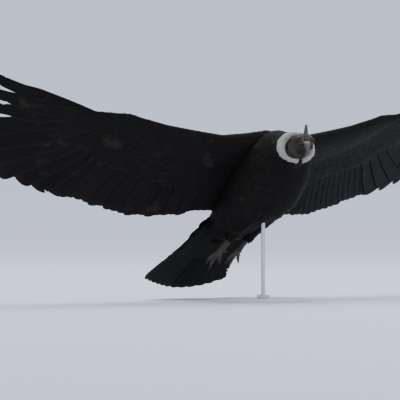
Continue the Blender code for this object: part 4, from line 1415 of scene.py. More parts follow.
@dataclass(frozen=True)
class Trunk:
    """The trunk's surface: rings of (place, height of the axis, half width, rise, depth)."""

    plumage: Material
    rng: Draws
    rings: Stations = (
        (-0.235, -0.012, 0.044, 0.044, 0.042),
        (-0.215, -0.010, 0.070, 0.088, 0.062),
        (-0.17, -0.004, 0.100, 0.138, 0.088),
        (-0.10, 0.000, 0.124, 0.157, 0.118),
        (-0.02, 0.000, 0.134, 0.150, 0.134),
        (0.06, 0.004, 0.132, 0.130, 0.130),
        (0.14, 0.012, 0.126, 0.104, 0.112),
        (0.22, 0.022, 0.118, 0.076, 0.096),
        (0.29, 0.030, 0.107, 0.052, 0.080),
        (0.34, 0.036, 0.088, 0.036, 0.058),
        (0.37, 0.040, 0.056, 0.022, 0.030),
    )
    power: float = 2.2
    coat: float = 0.011
    first_row: float = -0.222
    last_row: float = 0.352
    slim_until: Pair = (-0.23, -0.05)
    size: Pair = (0.024, 0.034)
    spread: Pair = (0.0062, 0.0065)
    loft: float = 0.0022

    feather_cut: Cut = Cut(
        outline=((0.0, 0.6), (0.4, 1.0), (0.75, 1.0), (1.0, 0.8)), tip=0.70,
        columns=FIVE_COLUMNS, rows=7, thick=0.0012, fray=0.035,
    )

    def point(self, place: Array, turn: Array, lift: Array) -> Array:
        """Finds points over the trunk.

        Args:
            place: How far behind its middle.
            turn: The angle round it, from its left over its back.
            lift: How far over it.

        Returns:
            The points, in the bird's frame.
        """
        height, half, rise, depth = curves_through(self.rings, place)
        across, up = oval(turn, half, rise, depth, self.power)
        tall = np.where(np.sin(turn) > 0, rise, depth)
        out_x, out_z = across / half**2, up / tall**2
        size = np.hypot(out_x, out_z) + 1e-9
        x, z = across + lift * out_x / size, height + up + lift * out_z / size
        return np.stack([x, place, z], -1)

    def rings_inside(self, count: int = 50, sides: int = 48) -> Array:
        """Rings of the skin under the coat, in the bird's frame."""
        ends = (self.rings[0][0] + 0.003, self.rings[-1][0] - 0.004)
        return rings_over(self.point, ends, count, sides, -self.coat)

    def build(self) -> list[Object]:
        """Lays the body's contour feathers, in rows that each overlap the next.

        Returns:
            The back's piece and the belly's.
        """
        made = []
        for name, low, loft in (("back", 0.0, self.loft), ("belly", math.pi, 0.0)):
            coat = Coat(f"torso_{name}_feathers", self.feather_cut.top)
            place, row = self.first_row, 0
            while place < self.last_row:
                grown = smooth_step(*self.slim_until, np.array(place))
                size = self.size[0] + self.size[1] * grown
                spread = self.spread[0] + self.spread[1] * grown
                half = float(curves_through(self.rings, place)[1])
                count = max(8, round(math.pi * half / (1.35 * spread)))
                turn = low + (np.arange(count) + (0.25 if row % 2 else 0.75)) * math.pi / count
                turn = turn + self.rng.normal(0, 0.06 / count * math.pi, count)
                self._row(coat, place, turn, (size, spread), half, loft)
                place += 0.30 * size
                row += 1
            made.append(coat.build(self.plumage, "dark_plumage"))
        return made

    def _over(self, half: float, x: Array, y: Array, height: Array) -> Array:
        """Points over the trunk, in the stand's frame, with x measured round it."""
        return POSE.to_world(self.point(-y, x / half, height))

    def _row(
        self, coat: Coat, place: float, turn: Array, make: Pair, half: float, loft: float
    ) -> None:
        """Adds one ring of contour feathers.

        Args:
            coat: Their piece.
            place: How far behind the trunk's middle they are rooted.
            turn: Each one's angle round the trunk.
            make: Their length, and the reach of each web.
            half: Half the trunk's width there.
            loft: How far their tips are raised.
        """
        size, spread = make
        count, rng = len(turn), self.rng
        root = paired(turn * half, -(place + rng.normal(0, 0.0015, count)))
        lift = paired(-self.coat - 0.002, loft + rng.uniform(-0.0005, 0.0040, count))
        angle, length = rng.normal(0, 0.09, count), size * rng.uniform(0.88, 1.12, count)
        reach = spread * rng.uniform(1.25, 1.5, count)
        tract = Tract(root, angle, length, paired(reach, reach), lift)
        places = patches_at(paired(turn / (2 * math.pi), (-root[:, 1] + 0.25) / 0.65))
        coat.plant(partial(self._over, half), self.feather_cut, tract, places, rng)


@dataclass(frozen=True)
class Thigh:
    """One thigh: rings of (place, sideways, height, half width, half height)."""

    side: Side
    plumage: Material
    rng: Draws
    rings: Stations = (
        (0.040, 0.042, -0.072, 0.020, 0.018),
        (0.080, 0.045, -0.072, 0.034, 0.028),
        (0.125, 0.046, -0.069, 0.036, 0.031),
        (0.175, 0.044, -0.064, 0.031, 0.028),
        (0.225, 0.045, -0.058, 0.027, 0.024),
        (0.270, 0.046, -0.056, 0.0210, 0.0195),
    )
    coat: float = 0.007
    rows: Triple = (0.045, 0.262, 0.0105)
    around: int = 16
    mean_half: float = 0.028
    reach: Pair = (0.0085, 0.0085)

    feather_cut: Cut = Cut(
        outline=((0.0, 0.6), (0.4, 1.0), (0.75, 0.95), (1.0, 0.6)), tip=0.72,
        columns=FIVE_COLUMNS, rows=6, thick=0.0012, fray=0.05,
    )

    def point(self, place: Array, turn: Array, lift: Array) -> Array:
        """Finds points over the thigh.

        Args:
            place: How far behind the trunk's middle.
            turn: The angle round the thigh.
            lift: How far over it.

        Returns:
            The points, in the bird's frame.
        """
        x, z, half, tall = curves_through(self.rings, place)
        across, up = (half + lift) * np.cos(turn), (tall + lift) * np.sin(turn)
        return np.stack([x + across, place, z + up], -1) * (self.side.value, 1, 1)

    def rings_inside(self, count: int = 24, sides: int = 24) -> Array:
        """Rings of the skin under the coat, in the bird's frame."""
        ends = (self.rings[0][0] + 0.004, self.rings[-1][0] + 0.012)
        return rings_over(self.point, ends, count, sides, -self.coat)

    def over(self, x: Array, y: Array, height: Array) -> Array:
        """Points over the thigh in the stand's frame, with x measured round it."""
        return POSE.to_world(self.point(-y, x / self.mean_half, height))

    def build(self) -> list[Object]:
        """Lays the trousers of soft feathers, down to the ankle.

        Returns:
            The piece.
        """
        coat = Coat(f"{self.side.label}_thigh_feathers", self.feather_cut.top)
        count, rng = self.around, self.rng
        for row, place in enumerate(np.arange(*self.rows)):
            turn = (np.arange(count) + 0.5 * (row % 2)) * 2 * math.pi / count
            turn = turn + rng.normal(0, 0.05, count)
            lift = paired(-self.coat - 0.001, rng.uniform(-0.0015, 0.0025, count))
            angle, length = rng.normal(0, 0.10, count), rng.uniform(0.032, 0.044, count)
            tract = Tract(paired(turn * self.mean_half, -place), angle, length, self.reach, lift)
            places = patches_at(paired((turn % (2 * math.pi)) / (2 * math.pi), place / 0.3))
            coat.plant(self.over, self.feather_cut, tract, places, rng)
        return [coat.build(self.plumage, "dark_plumage")]


@dataclass(frozen=True)
class Tail:
    """The fanned tail: twelve broad feathers, and coverts over and under their bases."""

    vanes: Material
    plumage: Material
    rng: Draws
    root: Triple = (-0.018, 0.315, 0.043)
    droop: float = math.radians(7.0)
    turn: float = math.radians(12.5)
    fan: float = math.radians(20.0)
    length: float = 0.372
    uneven: float = 0.14
    splay: Pair = (math.radians(1.8), math.radians(5.0))
    sag: float = 0.35
    slope: float = 0.06
    feathers: int = 12
    base: tuple[Triple, ...] = (
        (-0.05, 0.040, 0.014), (-0.03, 0.070, 0.026), (0.02, 0.084, 0.028), (0.07, 0.078, 0.018),
        (0.10, 0.064, 0.007),
    )
    covert_rows: tuple[tuple[float, float, int, float], ...] = (
        (0.0, 0.185, 11, 0.0125), (0.030, 0.150, 10, 0.0180), (0.055, 0.110, 9, 0.0225),
    )
    covert_half: Pair = (0.056, 0.074)

    rectrix_cut: Cut = Cut(
        outline=((0.0, 0.4), (0.2, 0.85), (0.6, 1.02), (0.92, 1.05), (1.0, 0.95)), tip=0.92,
        columns=(-1.0, -0.7, -0.4, -0.14, -0.035, 0.0, 0.035, 0.14, 0.4, 0.7, 1.0), rows=46,
        thick=0.0011, shaft=0.0009, droop=1.0, splits=3, fray=0.012,
    )
    covert_cut: Cut = Cut(
        outline=((0.0, 0.6), (0.45, 1.0), (0.8, 1.0), (1.0, 0.8)), tip=0.80,
        columns=(-1.0, -0.55, -0.07, 0.0, 0.07, 0.55, 1.0), rows=14,
        thick=0.0009, shaft=0.0003, droop=1.5, splits=1, fray=0.02,
    )

    def point(self, across: Array, ahead: Array, height: Array) -> Array:
        """Finds points over the tail's sheet.

        Args:
            across: How far left of its middle line.
            ahead: How far ahead of its root.
            height: How far over the sheet.

        Returns:
            The points, in the bird's frame.
        """
        c, s = math.cos(self.turn), math.sin(self.turn)
        dc, ds = math.cos(self.droop), math.sin(self.droop)
        flat = np.stack([across, -ahead, height - self.sag * across**2], -1)
        yaw = np.array([[c, -s, 0], [s, c, 0], [0, 0, 1]])
        pitch = np.array([[1, 0, 0], [0, dc, ds], [0, -ds, dc]])
        return np.array(self.root) + flat @ (yaw @ pitch).T

    def on_sheet(self, x: Array, y: Array, height: Array) -> Array:
        """Points of the sheet, in the stand's frame."""
        return POSE.to_world(self.point(x, y, height))

    def over_base(self, face: Face, x: Array, y: Array, height: Array) -> Array:
        """Finds points over the tail's fleshy base.

        Args:
            face: The upper or lower face.
            x: How far left of the tail's middle line.
            y: How far ahead of its root.
            height: How far over the base.

        Returns:
            The points, in the stand's frame.
        """
        places, halves, rises = zip(*self.base)
        half, rise = np.interp(-y, places, halves), np.interp(-y, places, rises)
        rounded = np.sqrt(np.clip(1 - (x / (half * 1.15)) ** 2, 0.0, 1))
        lie = np.where(-y > places[-1], 0.0, rise * rounded)
        return self.on_sheet(x, y, face.value * (np.maximum(lie * 0.9, 0.011) + height))

    def build(self) -> list[Object]:
        """The tail's feathers and their coverts."""
        return [self.rectrices(), self.coverts()]

    def rectrices(self) -> Object:
        """Builds the twelve tail feathers.

        Returns:
            The piece.
        """
        coat = Coat("tail_feathers", self.rectrix_cut.top)
        middle = (self.feathers - 1) / 2
        rank = np.arange(self.feathers)
        place = (rank - middle) / middle
        left = np.maximum(0.0, place)
        level = 0.0024 * (middle - abs(rank - middle)) - 0.006
        tract = Tract(
            root=paired(0.064 * place, -0.01),
            angle=self.fan * place + np.where(place < 0, -self.splay[0], self.splay[1]) * place**2,
            length=self.length * (1 - 0.05 * abs(place) - self.uneven * left**2),
            reach=(0.032, 0.032), lift=paired(level, level), roll=-np.copysign(self.slope, place),
        )
        places = strips(self.feathers, self.feathers)
        coat.plant(self.on_sheet, self.rectrix_cut, tract, places, self.rng)
        piece = coat.build(self.vanes, "flight_feathers")
        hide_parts("tail")
        return piece

    def coverts(self) -> Object:
        """Builds three rows of coverts on each face of the tail's base.

        Returns:
            The piece.
        """
        coat = Coat("tail_coverts", self.covert_cut.top)
        spread = 1.8 * self.splay[1]
        for face, half, bake_at in zip(Face, self.covert_half, (0.25, 0.75)):
            for ahead, length, count, level in self.covert_rows:
                place = np.linspace(-1, 1, count)
                left = np.maximum(0.0, place)
                angle = 0.95 * self.fan * place + spread * left**2
                angle = angle + self.rng.normal(0, 0.03, count)
                tract = Tract(
                    root=paired(half * place + 0.008 * left, ahead), angle=angle,
                    length=length * self.rng.uniform(0.94, 1.04, count),
                    reach=(0.024, 0.024), lift=(-0.004 * 0.5, (level - 0.0125) * 0.5),
                )
                places = patches_at(paired(0.5 + 0.45 * place, bake_at + ahead))
                coat.plant(partial(self.over_base, face), self.covert_cut, tract, places, self.rng)
        return coat.build(self.plumage, "dark_plumage")

    def rings_inside(self, sides: int = 24) -> Array:
        """Shapes the tail's fleshy base under its coat.

        Args:
            sides: How many points go round each ring.

        Returns:
            The rings, in the bird's frame.
        """
        rings = []
        turn = turns(sides)
        for back, half, rise in self.base[:-1]:
            across, up = 0.86 * half * np.cos(turn), 0.66 * rise * np.sin(turn)
            rings.append(self.point(across, np.full(sides, -back), up))
        return np.stack(rings)


@dataclass(frozen=True)
class HeadPlace:
    """Where the head is carried, and how it is turned."""

    at: Triple = (-0.0283, -0.3174, -0.0469)
    turn: float = math.radians(-39.8)
    drop: float = math.radians(34.1)
    roll: float = math.radians(26.7)
    scale: float = 1.07

    def matrix(self) -> Matrix:
        """Places the head's own frame.

        Returns:
            The matrix from that frame to the bird's.
        """
        turn = Matrix.Rotation(self.turn, 4, "Z")
        drop = Matrix.Rotation(self.drop, 4, "X")
        roll = Matrix.Rotation(self.roll, 4, "Y")
        return Matrix.Translation(self.at) @ turn @ drop @ roll @ Matrix.Scale(self.scale, 4)

    def to_bird(self, points: Array) -> Array:
        """Points of the head's frame, in the bird's."""
        matrix = np.array(self.matrix())
        return points @ matrix[:3, :3].T + matrix[:3, 3]

    def to_head(self, points: Array) -> Array:
        """Points of the bird's frame, in the head's."""
        matrix = np.linalg.inv(np.array(self.matrix()))
        return points @ matrix[:3, :3].T + matrix[:3, 3]


HEAD = HeadPlace()


def object_from(name: str, bm: bmesh.types.BMesh) -> Object:
    """Makes an object of a form, which is used up.

    Args:
        name: Its name.
        bm: The form.

    Returns:
        The new object.
    """
    mesh = bpy.data.meshes.new(name)
    bm.to_mesh(mesh)
    bm.free()
    return linked(name, mesh)


def solid_from(name: str, rings: Array) -> Object:
    """Makes a closed solid over rings.

    Args:
        name: Its name.
        rings: Its points, (ring, side, 3).

    Returns:
        The new object.
    """
    bm = bmesh.new()
    rows = [[bm.verts.new(point) for point in ring] for ring in rings]
    for row, after in zip(rows, rows[1:]):
        for corners in zip(row, row[1:] + row[:1], after[1:] + after[:1], after):
            bm.faces.new(corners)
    for ring in (rows[0], rows[-1]):
        bm.faces.new(ring)
    bmesh.ops.triangulate(bm, faces=bm.faces)
    bmesh.ops.recalc_face_normals(bm, faces=bm.faces)
    return object_from(name, bm)


def turned_from(name: str, profile: Sequence[Pair], steps: int, closed: bool = True) -> Object:
    """Makes a round form about the Z axis.

    Args:
        name: Its name.
        profile: Its (radius, height) points.
        steps: How many points round it.
        closed: Whether the profile's last point joins its first.

    Returns:
        The new object.
    """
    bm = bmesh.new()
    rows = [
        [bm.verts.new((r * math.cos(turn), r * math.sin(turn), z)) for r, z in profile]
        for turn in turns(steps)
    ]
    count = len(profile)
    for row, after in zip(rows, rows[1:] + rows[:1]):
        for j in range(count if closed else count - 1):
            n = (j + 1) % count
            if profile[j][0] or profile[n][0]:
                bm.faces.new((row[j], row[n], after[n], after[j]))
    bmesh.ops.remove_doubles(bm, verts=bm.verts, dist=1e-6)
    if closed:
        bmesh.ops.recalc_face_normals(bm, faces=bm.faces)
    return object_from(name, bm)


def ball(
    name: str, at: Triple, radius: float, scale: Triple = (1, 1, 1), turn: Matrix | None = None
) -> Object:
    """Makes a closed ball.

    Args:
        name: Its name.
        at: The ball's middle.
        radius: Its radius.
        scale: How far it is stretched along each axis.
        turn: How it is then turned about its middle.

    Returns:
        The new object.
    """
    bm = bmesh.new()
    bmesh.ops.create_uvsphere(bm, u_segments=32, v_segments=20, radius=radius)
    stretch = Matrix.Diagonal((*scale, 1))
    bm.transform(Matrix.Translation(at) @ (turn or Matrix.Identity(4)) @ stretch)
    return object_from(name, bm)


def bake_modifiers(obj: Object) -> None:
    """Applies an object's modifiers.

    Args:
        obj: The object.
    """
    graph = bpy.context.evaluated_depsgraph_get()
    mesh = bpy.data.meshes.new_from_object(obj.evaluated_get(graph))
    obj.modifiers.clear()
    obj.data = mesh


def merged(name: str, parts: Sequence[Object], cell: float) -> Object:
    """Draws one skin over overlapping solids, which are removed.

    Args:
        name: Its name.
        parts: The solids.
        cell: The size of the skin's cells.

    Returns:
        The skin.
    """
    bm = bmesh.new()
    for part in parts:
        bm.from_mesh(part.data)
        bpy.data.objects.remove(part)
    obj = object_from(name, bm)
    remesh = obj.modifiers.new("skin", "REMESH")
    remesh.mode = "VOXEL"
    remesh.voxel_size = cell
    bake_modifiers(obj)
    return obj


def combine(obj: Object, operation: str, others: Sequence[Object]) -> None:
    """Applies one Boolean with other closed objects, which are removed.

    Args:
        obj: The object that is changed.
        operation: UNION or DIFFERENCE.
        others: The other objects.
    """
    for other in others:
        modifier = obj.modifiers.new(operation.lower(), "BOOLEAN")
        modifier.operation = operation
        modifier.object = other
        modifier.solver = "MANIFOLD"
    bake_modifiers(obj)
    for other in others:
        bpy.data.objects.remove(other)


def vectors_of(items: bpy.types.bpy_prop_collection, key: str) -> Array:
    """Reads one vector of each of a mesh's items.

    Args:
        items: The mesh's vertices, normals or faces.
        key: The vector's name.

    Returns:
        The vectors, (item, 3).
    """
    found = np.empty(len(items) * 3, np.float32)
    items.foreach_get(key, found)
    return found.reshape(-1, 3).astype(float)


def set_points(mesh: Mesh, points: Array) -> None:
    """Moves a mesh's points."""
    mesh.vertices.foreach_set("co", points.astype(np.float32).ravel())
    mesh.update()


def set_layer(mesh: Mesh, name: str, values: Array) -> None:
    """Gives a mesh a value at each point, for its finish to read."""
    made = mesh.attributes.get(name) or mesh.attributes.new(name, "FLOAT", "POINT")
    made.data.foreach_set("value", values.astype(np.float32))


def segment_distance(points: Array, start: Triple, end: Triple) -> Array:
    """Measures from points to a straight segment.

    Args:
        points: The points.
        start: The segment's one end.
        end: Its other end.

    Returns:
        How far each point is from it.
    """
    start, end = np.array(start), np.array(end)
    line = end - start
    t = np.clip((points - start) @ line / (line @ line), 0, 1)
    return np.linalg.norm(points - start - t[:, None] * line, axis=1)


def oval_rings(stations: Sequence[Floats], count: int, sides: int, power: float) -> Array:
    """Shapes a form along Y.

    Args:
        stations: Its (place, axis height, half width, rise, depth), from end to end.
        count: How many rings.
        sides: How many points round each.
        power: 2 for an elliptic section, and more for a squarer one.

    Returns:
        The rings.
    """
    ordered = sorted(stations)
    place = np.linspace(ordered[0][0], ordered[-1][0], count)[:, None]
    height, half, rise, depth = curves_through(ordered, place)
    across, up = oval(turns(sides)[None, :], half, rise, depth, power)
    return np.stack([across, place + 0 * up, height + up], -1)


@dataclass(frozen=True)
class Head:
    """The bare head, comb, throat fold and neck, in the head's own frame, with the two eyes.

    skull lists (place, axis height, half width, rise, depth), comb (place, foot, crest, half width)
    and wattle (place, top, half width, depth).
    """

    wet: Material
    skull: Stations = (
        (0.040, 0.000, 0.0300, 0.0300, 0.0360),
        (0.025, 0.001, 0.0335, 0.0335, 0.0380),
        (0.008, 0.002, 0.0345, 0.0345, 0.0370),
        (-0.010, 0.001, 0.0330, 0.0335, 0.0345),
        (-0.024, 0.000, 0.0300, 0.0300, 0.0305),
        (-0.036, -0.003, 0.0255, 0.0250, 0.0265),
        (-0.048, -0.005, 0.0195, 0.0195, 0.0210),
        (-0.057, -0.006, 0.0160, 0.0165, 0.0175),
        (-0.063, -0.006, 0.0140, 0.0145, 0.0150),
    )
    comb: Stations = (
        (0.018, 0.026, 0.0370, 0.0030),
        (0.006, 0.027, 0.0530, 0.0042),
        (-0.010, 0.026, 0.0660, 0.0050),
        (-0.028, 0.020, 0.0710, 0.0052),
        (-0.046, 0.012, 0.0660, 0.0054),
        (-0.062, 0.007, 0.0520, 0.0056),
        (-0.074, 0.006, 0.0330, 0.0050),
        (-0.082, 0.006, 0.0170, 0.0030),
    )
    wattle: Stations = (
        (-0.048, -0.020, 0.0040, 0.0060),
        (-0.038, -0.024, 0.0065, 0.0140),
        (-0.022, -0.028, 0.0080, 0.0210),
        (-0.006, -0.030, 0.0085, 0.0225),
        (0.010, -0.031, 0.0080, 0.0185),
        (0.022, -0.031, 0.0060, 0.0125),
    )
    eye_at: Triple = (0.0245, -0.0215, 0.0115)
    eye_radius: float = 0.0085
    lid_radius: float = 0.0114
    ear_folds: tuple[Triple, ...] = (
        (0.004, 0.004, 0.016), (0.012, -0.004, 0.019), (0.020, -0.011, 0.021),
    )
    gape_front: Triple = (0.0150, -0.060, -0.0075)
    gape_back: Triple = (0.0262, -0.030, -0.0085)
    neck_start: Triple = (-0.005, -0.225, -0.010)
    neck_lean: Triple = (0.0, -0.07, -0.02)
    neck_radius: float = 0.050
    neck_taper: float = 0.013
    cell: float = 0.0014

    def neck(self, count: int = 90, sides: int = 64) -> Array:
        """Shapes the folded neck.

        Args:
            count: How many rings.
            sides: How many points round each.

        Returns:
            The rings, in the bird's frame.
        """
        start, lean_in = np.array(self.neck_start), np.array(self.neck_lean)
        end, before = HEAD.to_bird(np.array([[0, 0.030, -0.002], [0, 0.100, -0.002]]))
        lean_out = end - before
        t = np.linspace(-0.12, 1, count)[:, None]
        place = (
            (2 * t**3 - 3 * t**2 + 1) * start + (t**3 - 2 * t**2 + t) * lean_in
            + (3 * t**2 - 2 * t**3) * end + (t**3 - t**2) * lean_out
        )
        along = (
            (6 * t**2 - 6 * t) * (start - end) + (3 * t**2 - 4 * t + 1) * lean_in
            + (3 * t**2 - 2 * t) * lean_out
        )
        side, up = frame_along(along)
        turn = turns(sides)[None, :]
        wander = 0.6 * np.sin(2 * turn + 1.1) + 0.35 * np.sin(5 * turn + 4 * t)
        fold = np.sin(2 * math.pi * (4.3 * t) + wander)
        radius = self.neck_radius - self.neck_taper * t + 0.0020 * np.sign(fold) * abs(fold) ** 0.7
        outward = side[:, None] * np.cos(turn)[..., None] + up[:, None] * np.sin(turn)[..., None]
        return place[:, None] + radius[..., None] * outward

    def comb_rings(self) -> Array:
        """Shapes the comb, thin and tall, with a wavy, lumpy edge.

        Returns:
            Its rings.
        """
        stations = [(y, foot, half, crest - foot, 0.010) for y, foot, crest, half in self.comb]
        rings = oval_rings(stations, 60, 40, 1.7)
        y = rings[..., 1]
        tall = np.clip((rings[..., 2] - 0.02) / 0.05, 0, 1)
        rings[..., 0] += 0.0016 * tall * np.sin(95 * y + 0.7) + 0.0008 * tall * np.sin(260 * y)
        rings[..., 2] += 0.0012 * tall**3 * np.sin(330 * y + 1.0)
        return rings

    def eye(self, side: Side) -> Triple:
        """The middle of one eye."""
        return (side.value * self.eye_at[0], *self.eye_at[1:])

    def parts(self) -> tuple[list[Object], list[Object]]:
        """Makes the solids that the head's skin is drawn over.

        Returns:
            The solids and what is cut out of them, in the bird's frame.
        """
        throat = [(y, z, half, 0.010, drop) for y, z, half, drop in self.wattle]
        solids = [
            solid_from("skull", oval_rings(self.skull, 60, 56, 2.1)),
            solid_from("comb", self.comb_rings()),
            solid_from("wattle", oval_rings(throat, 40, 32, 1.8)),
        ]
        cuts, folds = [], []
        for side in Side:
            sign, at = side.value, Vector(self.eye(side))
            outward = Matrix.Rotation(-sign * math.radians(20), 4, "Z")
            turn = outward @ Matrix.Rotation(sign * math.radians(78), 4, "Y")
            brow = at + Vector((-sign * 0.004, 0.002, 0.0085))
            between = at + Vector((sign * 0.0085, -0.001, 0))
            solids.append(ball("lid", at, self.lid_radius, (1.0, 1.0, 0.97), turn))
            solids.append(ball("brow", brow, 0.0095, (0.75, 1.55, 0.45)))
            cuts.append(ball("opening", between, 0.0078, (1.0, 1.05, 0.62)))
            cuts.append(ball("socket", at, self.eye_radius + 0.0003))
            for k, (back, low, long) in enumerate(self.ear_folds):
                middle = Vector((sign * (0.0325 - 0.001 * k), back, low))
                lean = Matrix.Rotation(math.radians(24 + 8 * k), 4, "X")
                folds.append(ball("fold", middle, 1.0, (0.0038, 0.0034, long), lean))
            cheek = (sign * 0.0215, -0.028, -0.014)
            folds.append(ball("cheek", cheek, 1.0, (0.0085, 0.020, 0.0075)))
        for solid in solids + folds + cuts:
            solid.data.transform(HEAD.matrix())
        return solids + folds, cuts

    def skin(self) -> Object:
        """Makes the wrinkled skin of the head and neck.

        Returns:
            The skin, in the bird's frame.
        """
        solids, cuts = self.parts()
        obj = merged("head_skin", [*solids, solid_from("neck", self.neck())], self.cell)
        combine(obj, "DIFFERENCE", cuts)
        mesh = obj.data
        points, normals = vectors_of(mesh.vertices, "co"), vectors_of(mesh.vertex_normals, "vector")
        local = HEAD.to_head(points)
        comb = self.comb_share(local)
        bare = smooth_step(-0.20, -0.25, points[:, 1])
        ridged = 1 - abs(lattice_noise(local * (1.0, 1.6, 1.0), 105, 1)) * 2
        fine = lattice_noise(local, 330, 2)
        move = bare * (0.00085 * ridged * (1 - 0.4 * comb) + 0.00035 * fine)
        crest = 1 - abs(lattice_noise(local * (1.0, 1.0, 0.35), 240, 3)) * 2
        move = move + comb * 0.0008 * crest
        move = move * smooth_step(0.0085, 0.016, self.eye_distance(local))
        gape = self.gape_distance(local)
        lips = 0.0007 * np.exp(-(((gape - 0.0034) / 0.0018) ** 2))
        move = move - 0.0016 * np.exp(-((gape / 0.0013) ** 2)) + lips
        set_points(mesh, points + normals * move[:, None])
        return obj

    def comb_share(self, local: Array) -> Array:
        """Tells which points are on the comb.

        Args:
            local: Points in the head's frame.

        Returns:
            1 on the comb and 0 off it.
        """
        places, feet, *_ = zip(*self.comb[::-1])
        foot = np.interp(local[:, 1], places, feet)
        over = smooth_step(0.004, 0.012, local[:, 2] - foot - 0.003)
        return over * smooth_step(0.016, 0.009, abs(local[:, 0])) * (local[:, 1] < 0.03)

    def eye_distance(self, local: Array) -> Array:
        """How far points of the head's frame are from the nearer eye's middle."""
        return np.minimum(*(np.linalg.norm(local - self.eye(side), axis=1) for side in Side))

    def gape_distance(self, local: Array) -> Array:
        """How far points of the head's frame are from the nearer corner line of the mouth."""
        ends = np.array((self.gape_front, self.gape_back))
        return np.minimum(*(segment_distance(local, *ends * (side.value, 1, 1)) for side in Side))

    def colours(self, obj: Object) -> None:
        """Marks the comb, the yellow skin with painted light on its left side, and the creases'
        painted shade for the finish.

        Args:
            obj: The whole skin, in the bird's frame.
        """
        points = vectors_of(obj.data.vertices, "co")
        local = HEAD.to_head(points)
        x, y, z = local.T
        set_layer(obj.data, "comb", self.comb_share(local))
        # The yellow is the skin's own colour. Its much greater strength on the left (+X) side than
        # on the right is painted light on the side the light falls on.
        side = 0.22 * smooth_step(-0.016, -0.030, x) + 0.9 * smooth_step(0.008, 0.024, x)
        yellow_skin_and_lit_side = side * smooth_step(-0.022, 0.006, y) * smooth_step(0.010, -0.012, z)
        set_layer(obj.data, "yellow_skin_and_lit_side", yellow_skin_and_lit_side * smooth_step(0.085, 0.055, y))
        # Painted shade: the mouth's line and the rims round the eyes are marked to be drawn
        # near-black.
        lips = np.exp(-((self.gape_distance(local) / 0.0014) ** 2))
        painted_crease_shade = np.maximum(lips, 0.85 * smooth_step(0.0125, 0.0098, self.eye_distance(local)))
        set_layer(obj.data, "painted_crease_shade", painted_crease_shade * (points[:, 1] < -0.2))

    def build(self) -> list[Object]:
        """Makes the two eyeballs, each with a slightly raised cornea.

        Returns:
            The pieces.
        """
        made = []
        for side in Side:
            look = Vector((side.value * 0.93, -0.34, 0.02)).normalized()
            obj = ball(f"{side.label}_eyeball", (0, 0, 0), 1.0)
            points = vectors_of(obj.data.vertices, "co")
            away = np.degrees(np.arccos(np.clip(points @ np.array(look), -1, 1))) / 90
            bulge = 1 + 0.06 * (1 - smooth_step(0.0, 0.5, away))
            placed = points * self.eye_radius * bulge[:, None] * 0.99 + self.eye(side)
            set_points(obj.data, POSE.to_world(HEAD.to_bird(placed)))
            set_layer(obj.data, "away", away)
            obj.data.shade_smooth()
            obj.data.materials.append(self.wet)
            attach(obj, BODY)
            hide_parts(f"{side.label}_eye")
            made.append(obj)
        return made


@dataclass(frozen=True)
class Bill:
    """The hooked bill: stations of (ahead, height, half width, rise, depth) along each half."""

    horn: Material
    upper: Stations = (
        (-0.0580, 0.0000, 0.0150, 0.0120, 0.0070),
        (-0.0700, 0.0000, 0.0138, 0.0118, 0.0070),
        (-0.0840, 0.0000, 0.0126, 0.0115, 0.0070),
        (-0.0980, -0.0010, 0.0112, 0.0118, 0.0075),
        (-0.1090, -0.0060, 0.0092, 0.0115, 0.0075),
        (-0.1160, -0.0140, 0.0066, 0.0080, 0.0060),
        (-0.1185, -0.0230, 0.0040, 0.0045, 0.0040),
        (-0.1180, -0.0300, 0.0014, 0.0016, 0.0016),
    )
    lower: Stations = (
        (-0.0580, -0.0110, 0.0135, 0.0070, 0.0075),
        (-0.0740, -0.0115, 0.0120, 0.0070, 0.0070),
        (-0.0900, -0.0120, 0.0100, 0.0065, 0.0062),
        (-0.1010, -0.0115, 0.0072, 0.0050, 0.0048),
        (-0.1070, -0.0105, 0.0036, 0.0025, 0.0026),
    )
    power: float = 2.2
    back: float = 0.058
    reach: float = 0.062
    nostril_at: Triple = (0.0, -0.0735, 0.0045)
    nostril_size: Triple = (0.030, 0.0056, 0.0025)
    nostril_tilt: float = math.radians(12)

    def half(self, name: str, stations: Stations, count: int = 60) -> Object:
        """Makes one half of the bill.

        Args:
            name: Its name.
            stations: The half's stations.
            count: How many rings.

        Returns:
            The half, in the head's frame.
        """
        t, at, none = np.linspace(0, 1, count), np.linspace(0, 1, len(stations)), np.zeros(count)
        y, z, half, rise, depth = (curve_through(at, values, t) for values in zip(*stations))
        up = unit(np.cross(np.stack([none, np.gradient(y), np.gradient(z)], 1), (1.0, 0.0, 0.0)))
        section = (values[:, None] for values in (half, rise, depth))
        across, tall = oval(turns(48)[None, :], *section, self.power)
        middle = np.stack([none, y, z], 1)
        level = middle[:, None] + across[..., None] * (1.0, 0.0, 0.0)
        return solid_from(name, level + tall[..., None] * up[:, None])

    def build(self) -> list[Object]:
        """Makes both halves, with the nostrils cut through the upper one.

        Returns:
            The pieces.
        """
        top = self.half("upper_bill_horn", self.upper)
        tilt = Matrix.Rotation(self.nostril_tilt, 4, "X")
        combine(top, "DIFFERENCE", [ball("nostril", self.nostril_at, 1.0, self.nostril_size, tilt)])
        jaw = self.half("lower_bill_horn", self.lower)
        for obj, node in ((top, "upper_bill"), (jaw, "lower_bill")):
            points = vectors_of(obj.data.vertices, "co")
            set_layer(obj.data, "ahead", np.clip((-points[:, 1] - self.back) / self.reach, 0, 1))
            set_points(obj.data, POSE.to_world(HEAD.to_bird(points)))
            obj.data.shade_smooth()
            obj.data.set_sharp_from_angle(angle=math.radians(50))
            obj.data.materials.clear()
            obj.data.materials.append(self.horn)
            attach(obj, BODY)
            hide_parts(node)
        return [top, jaw]


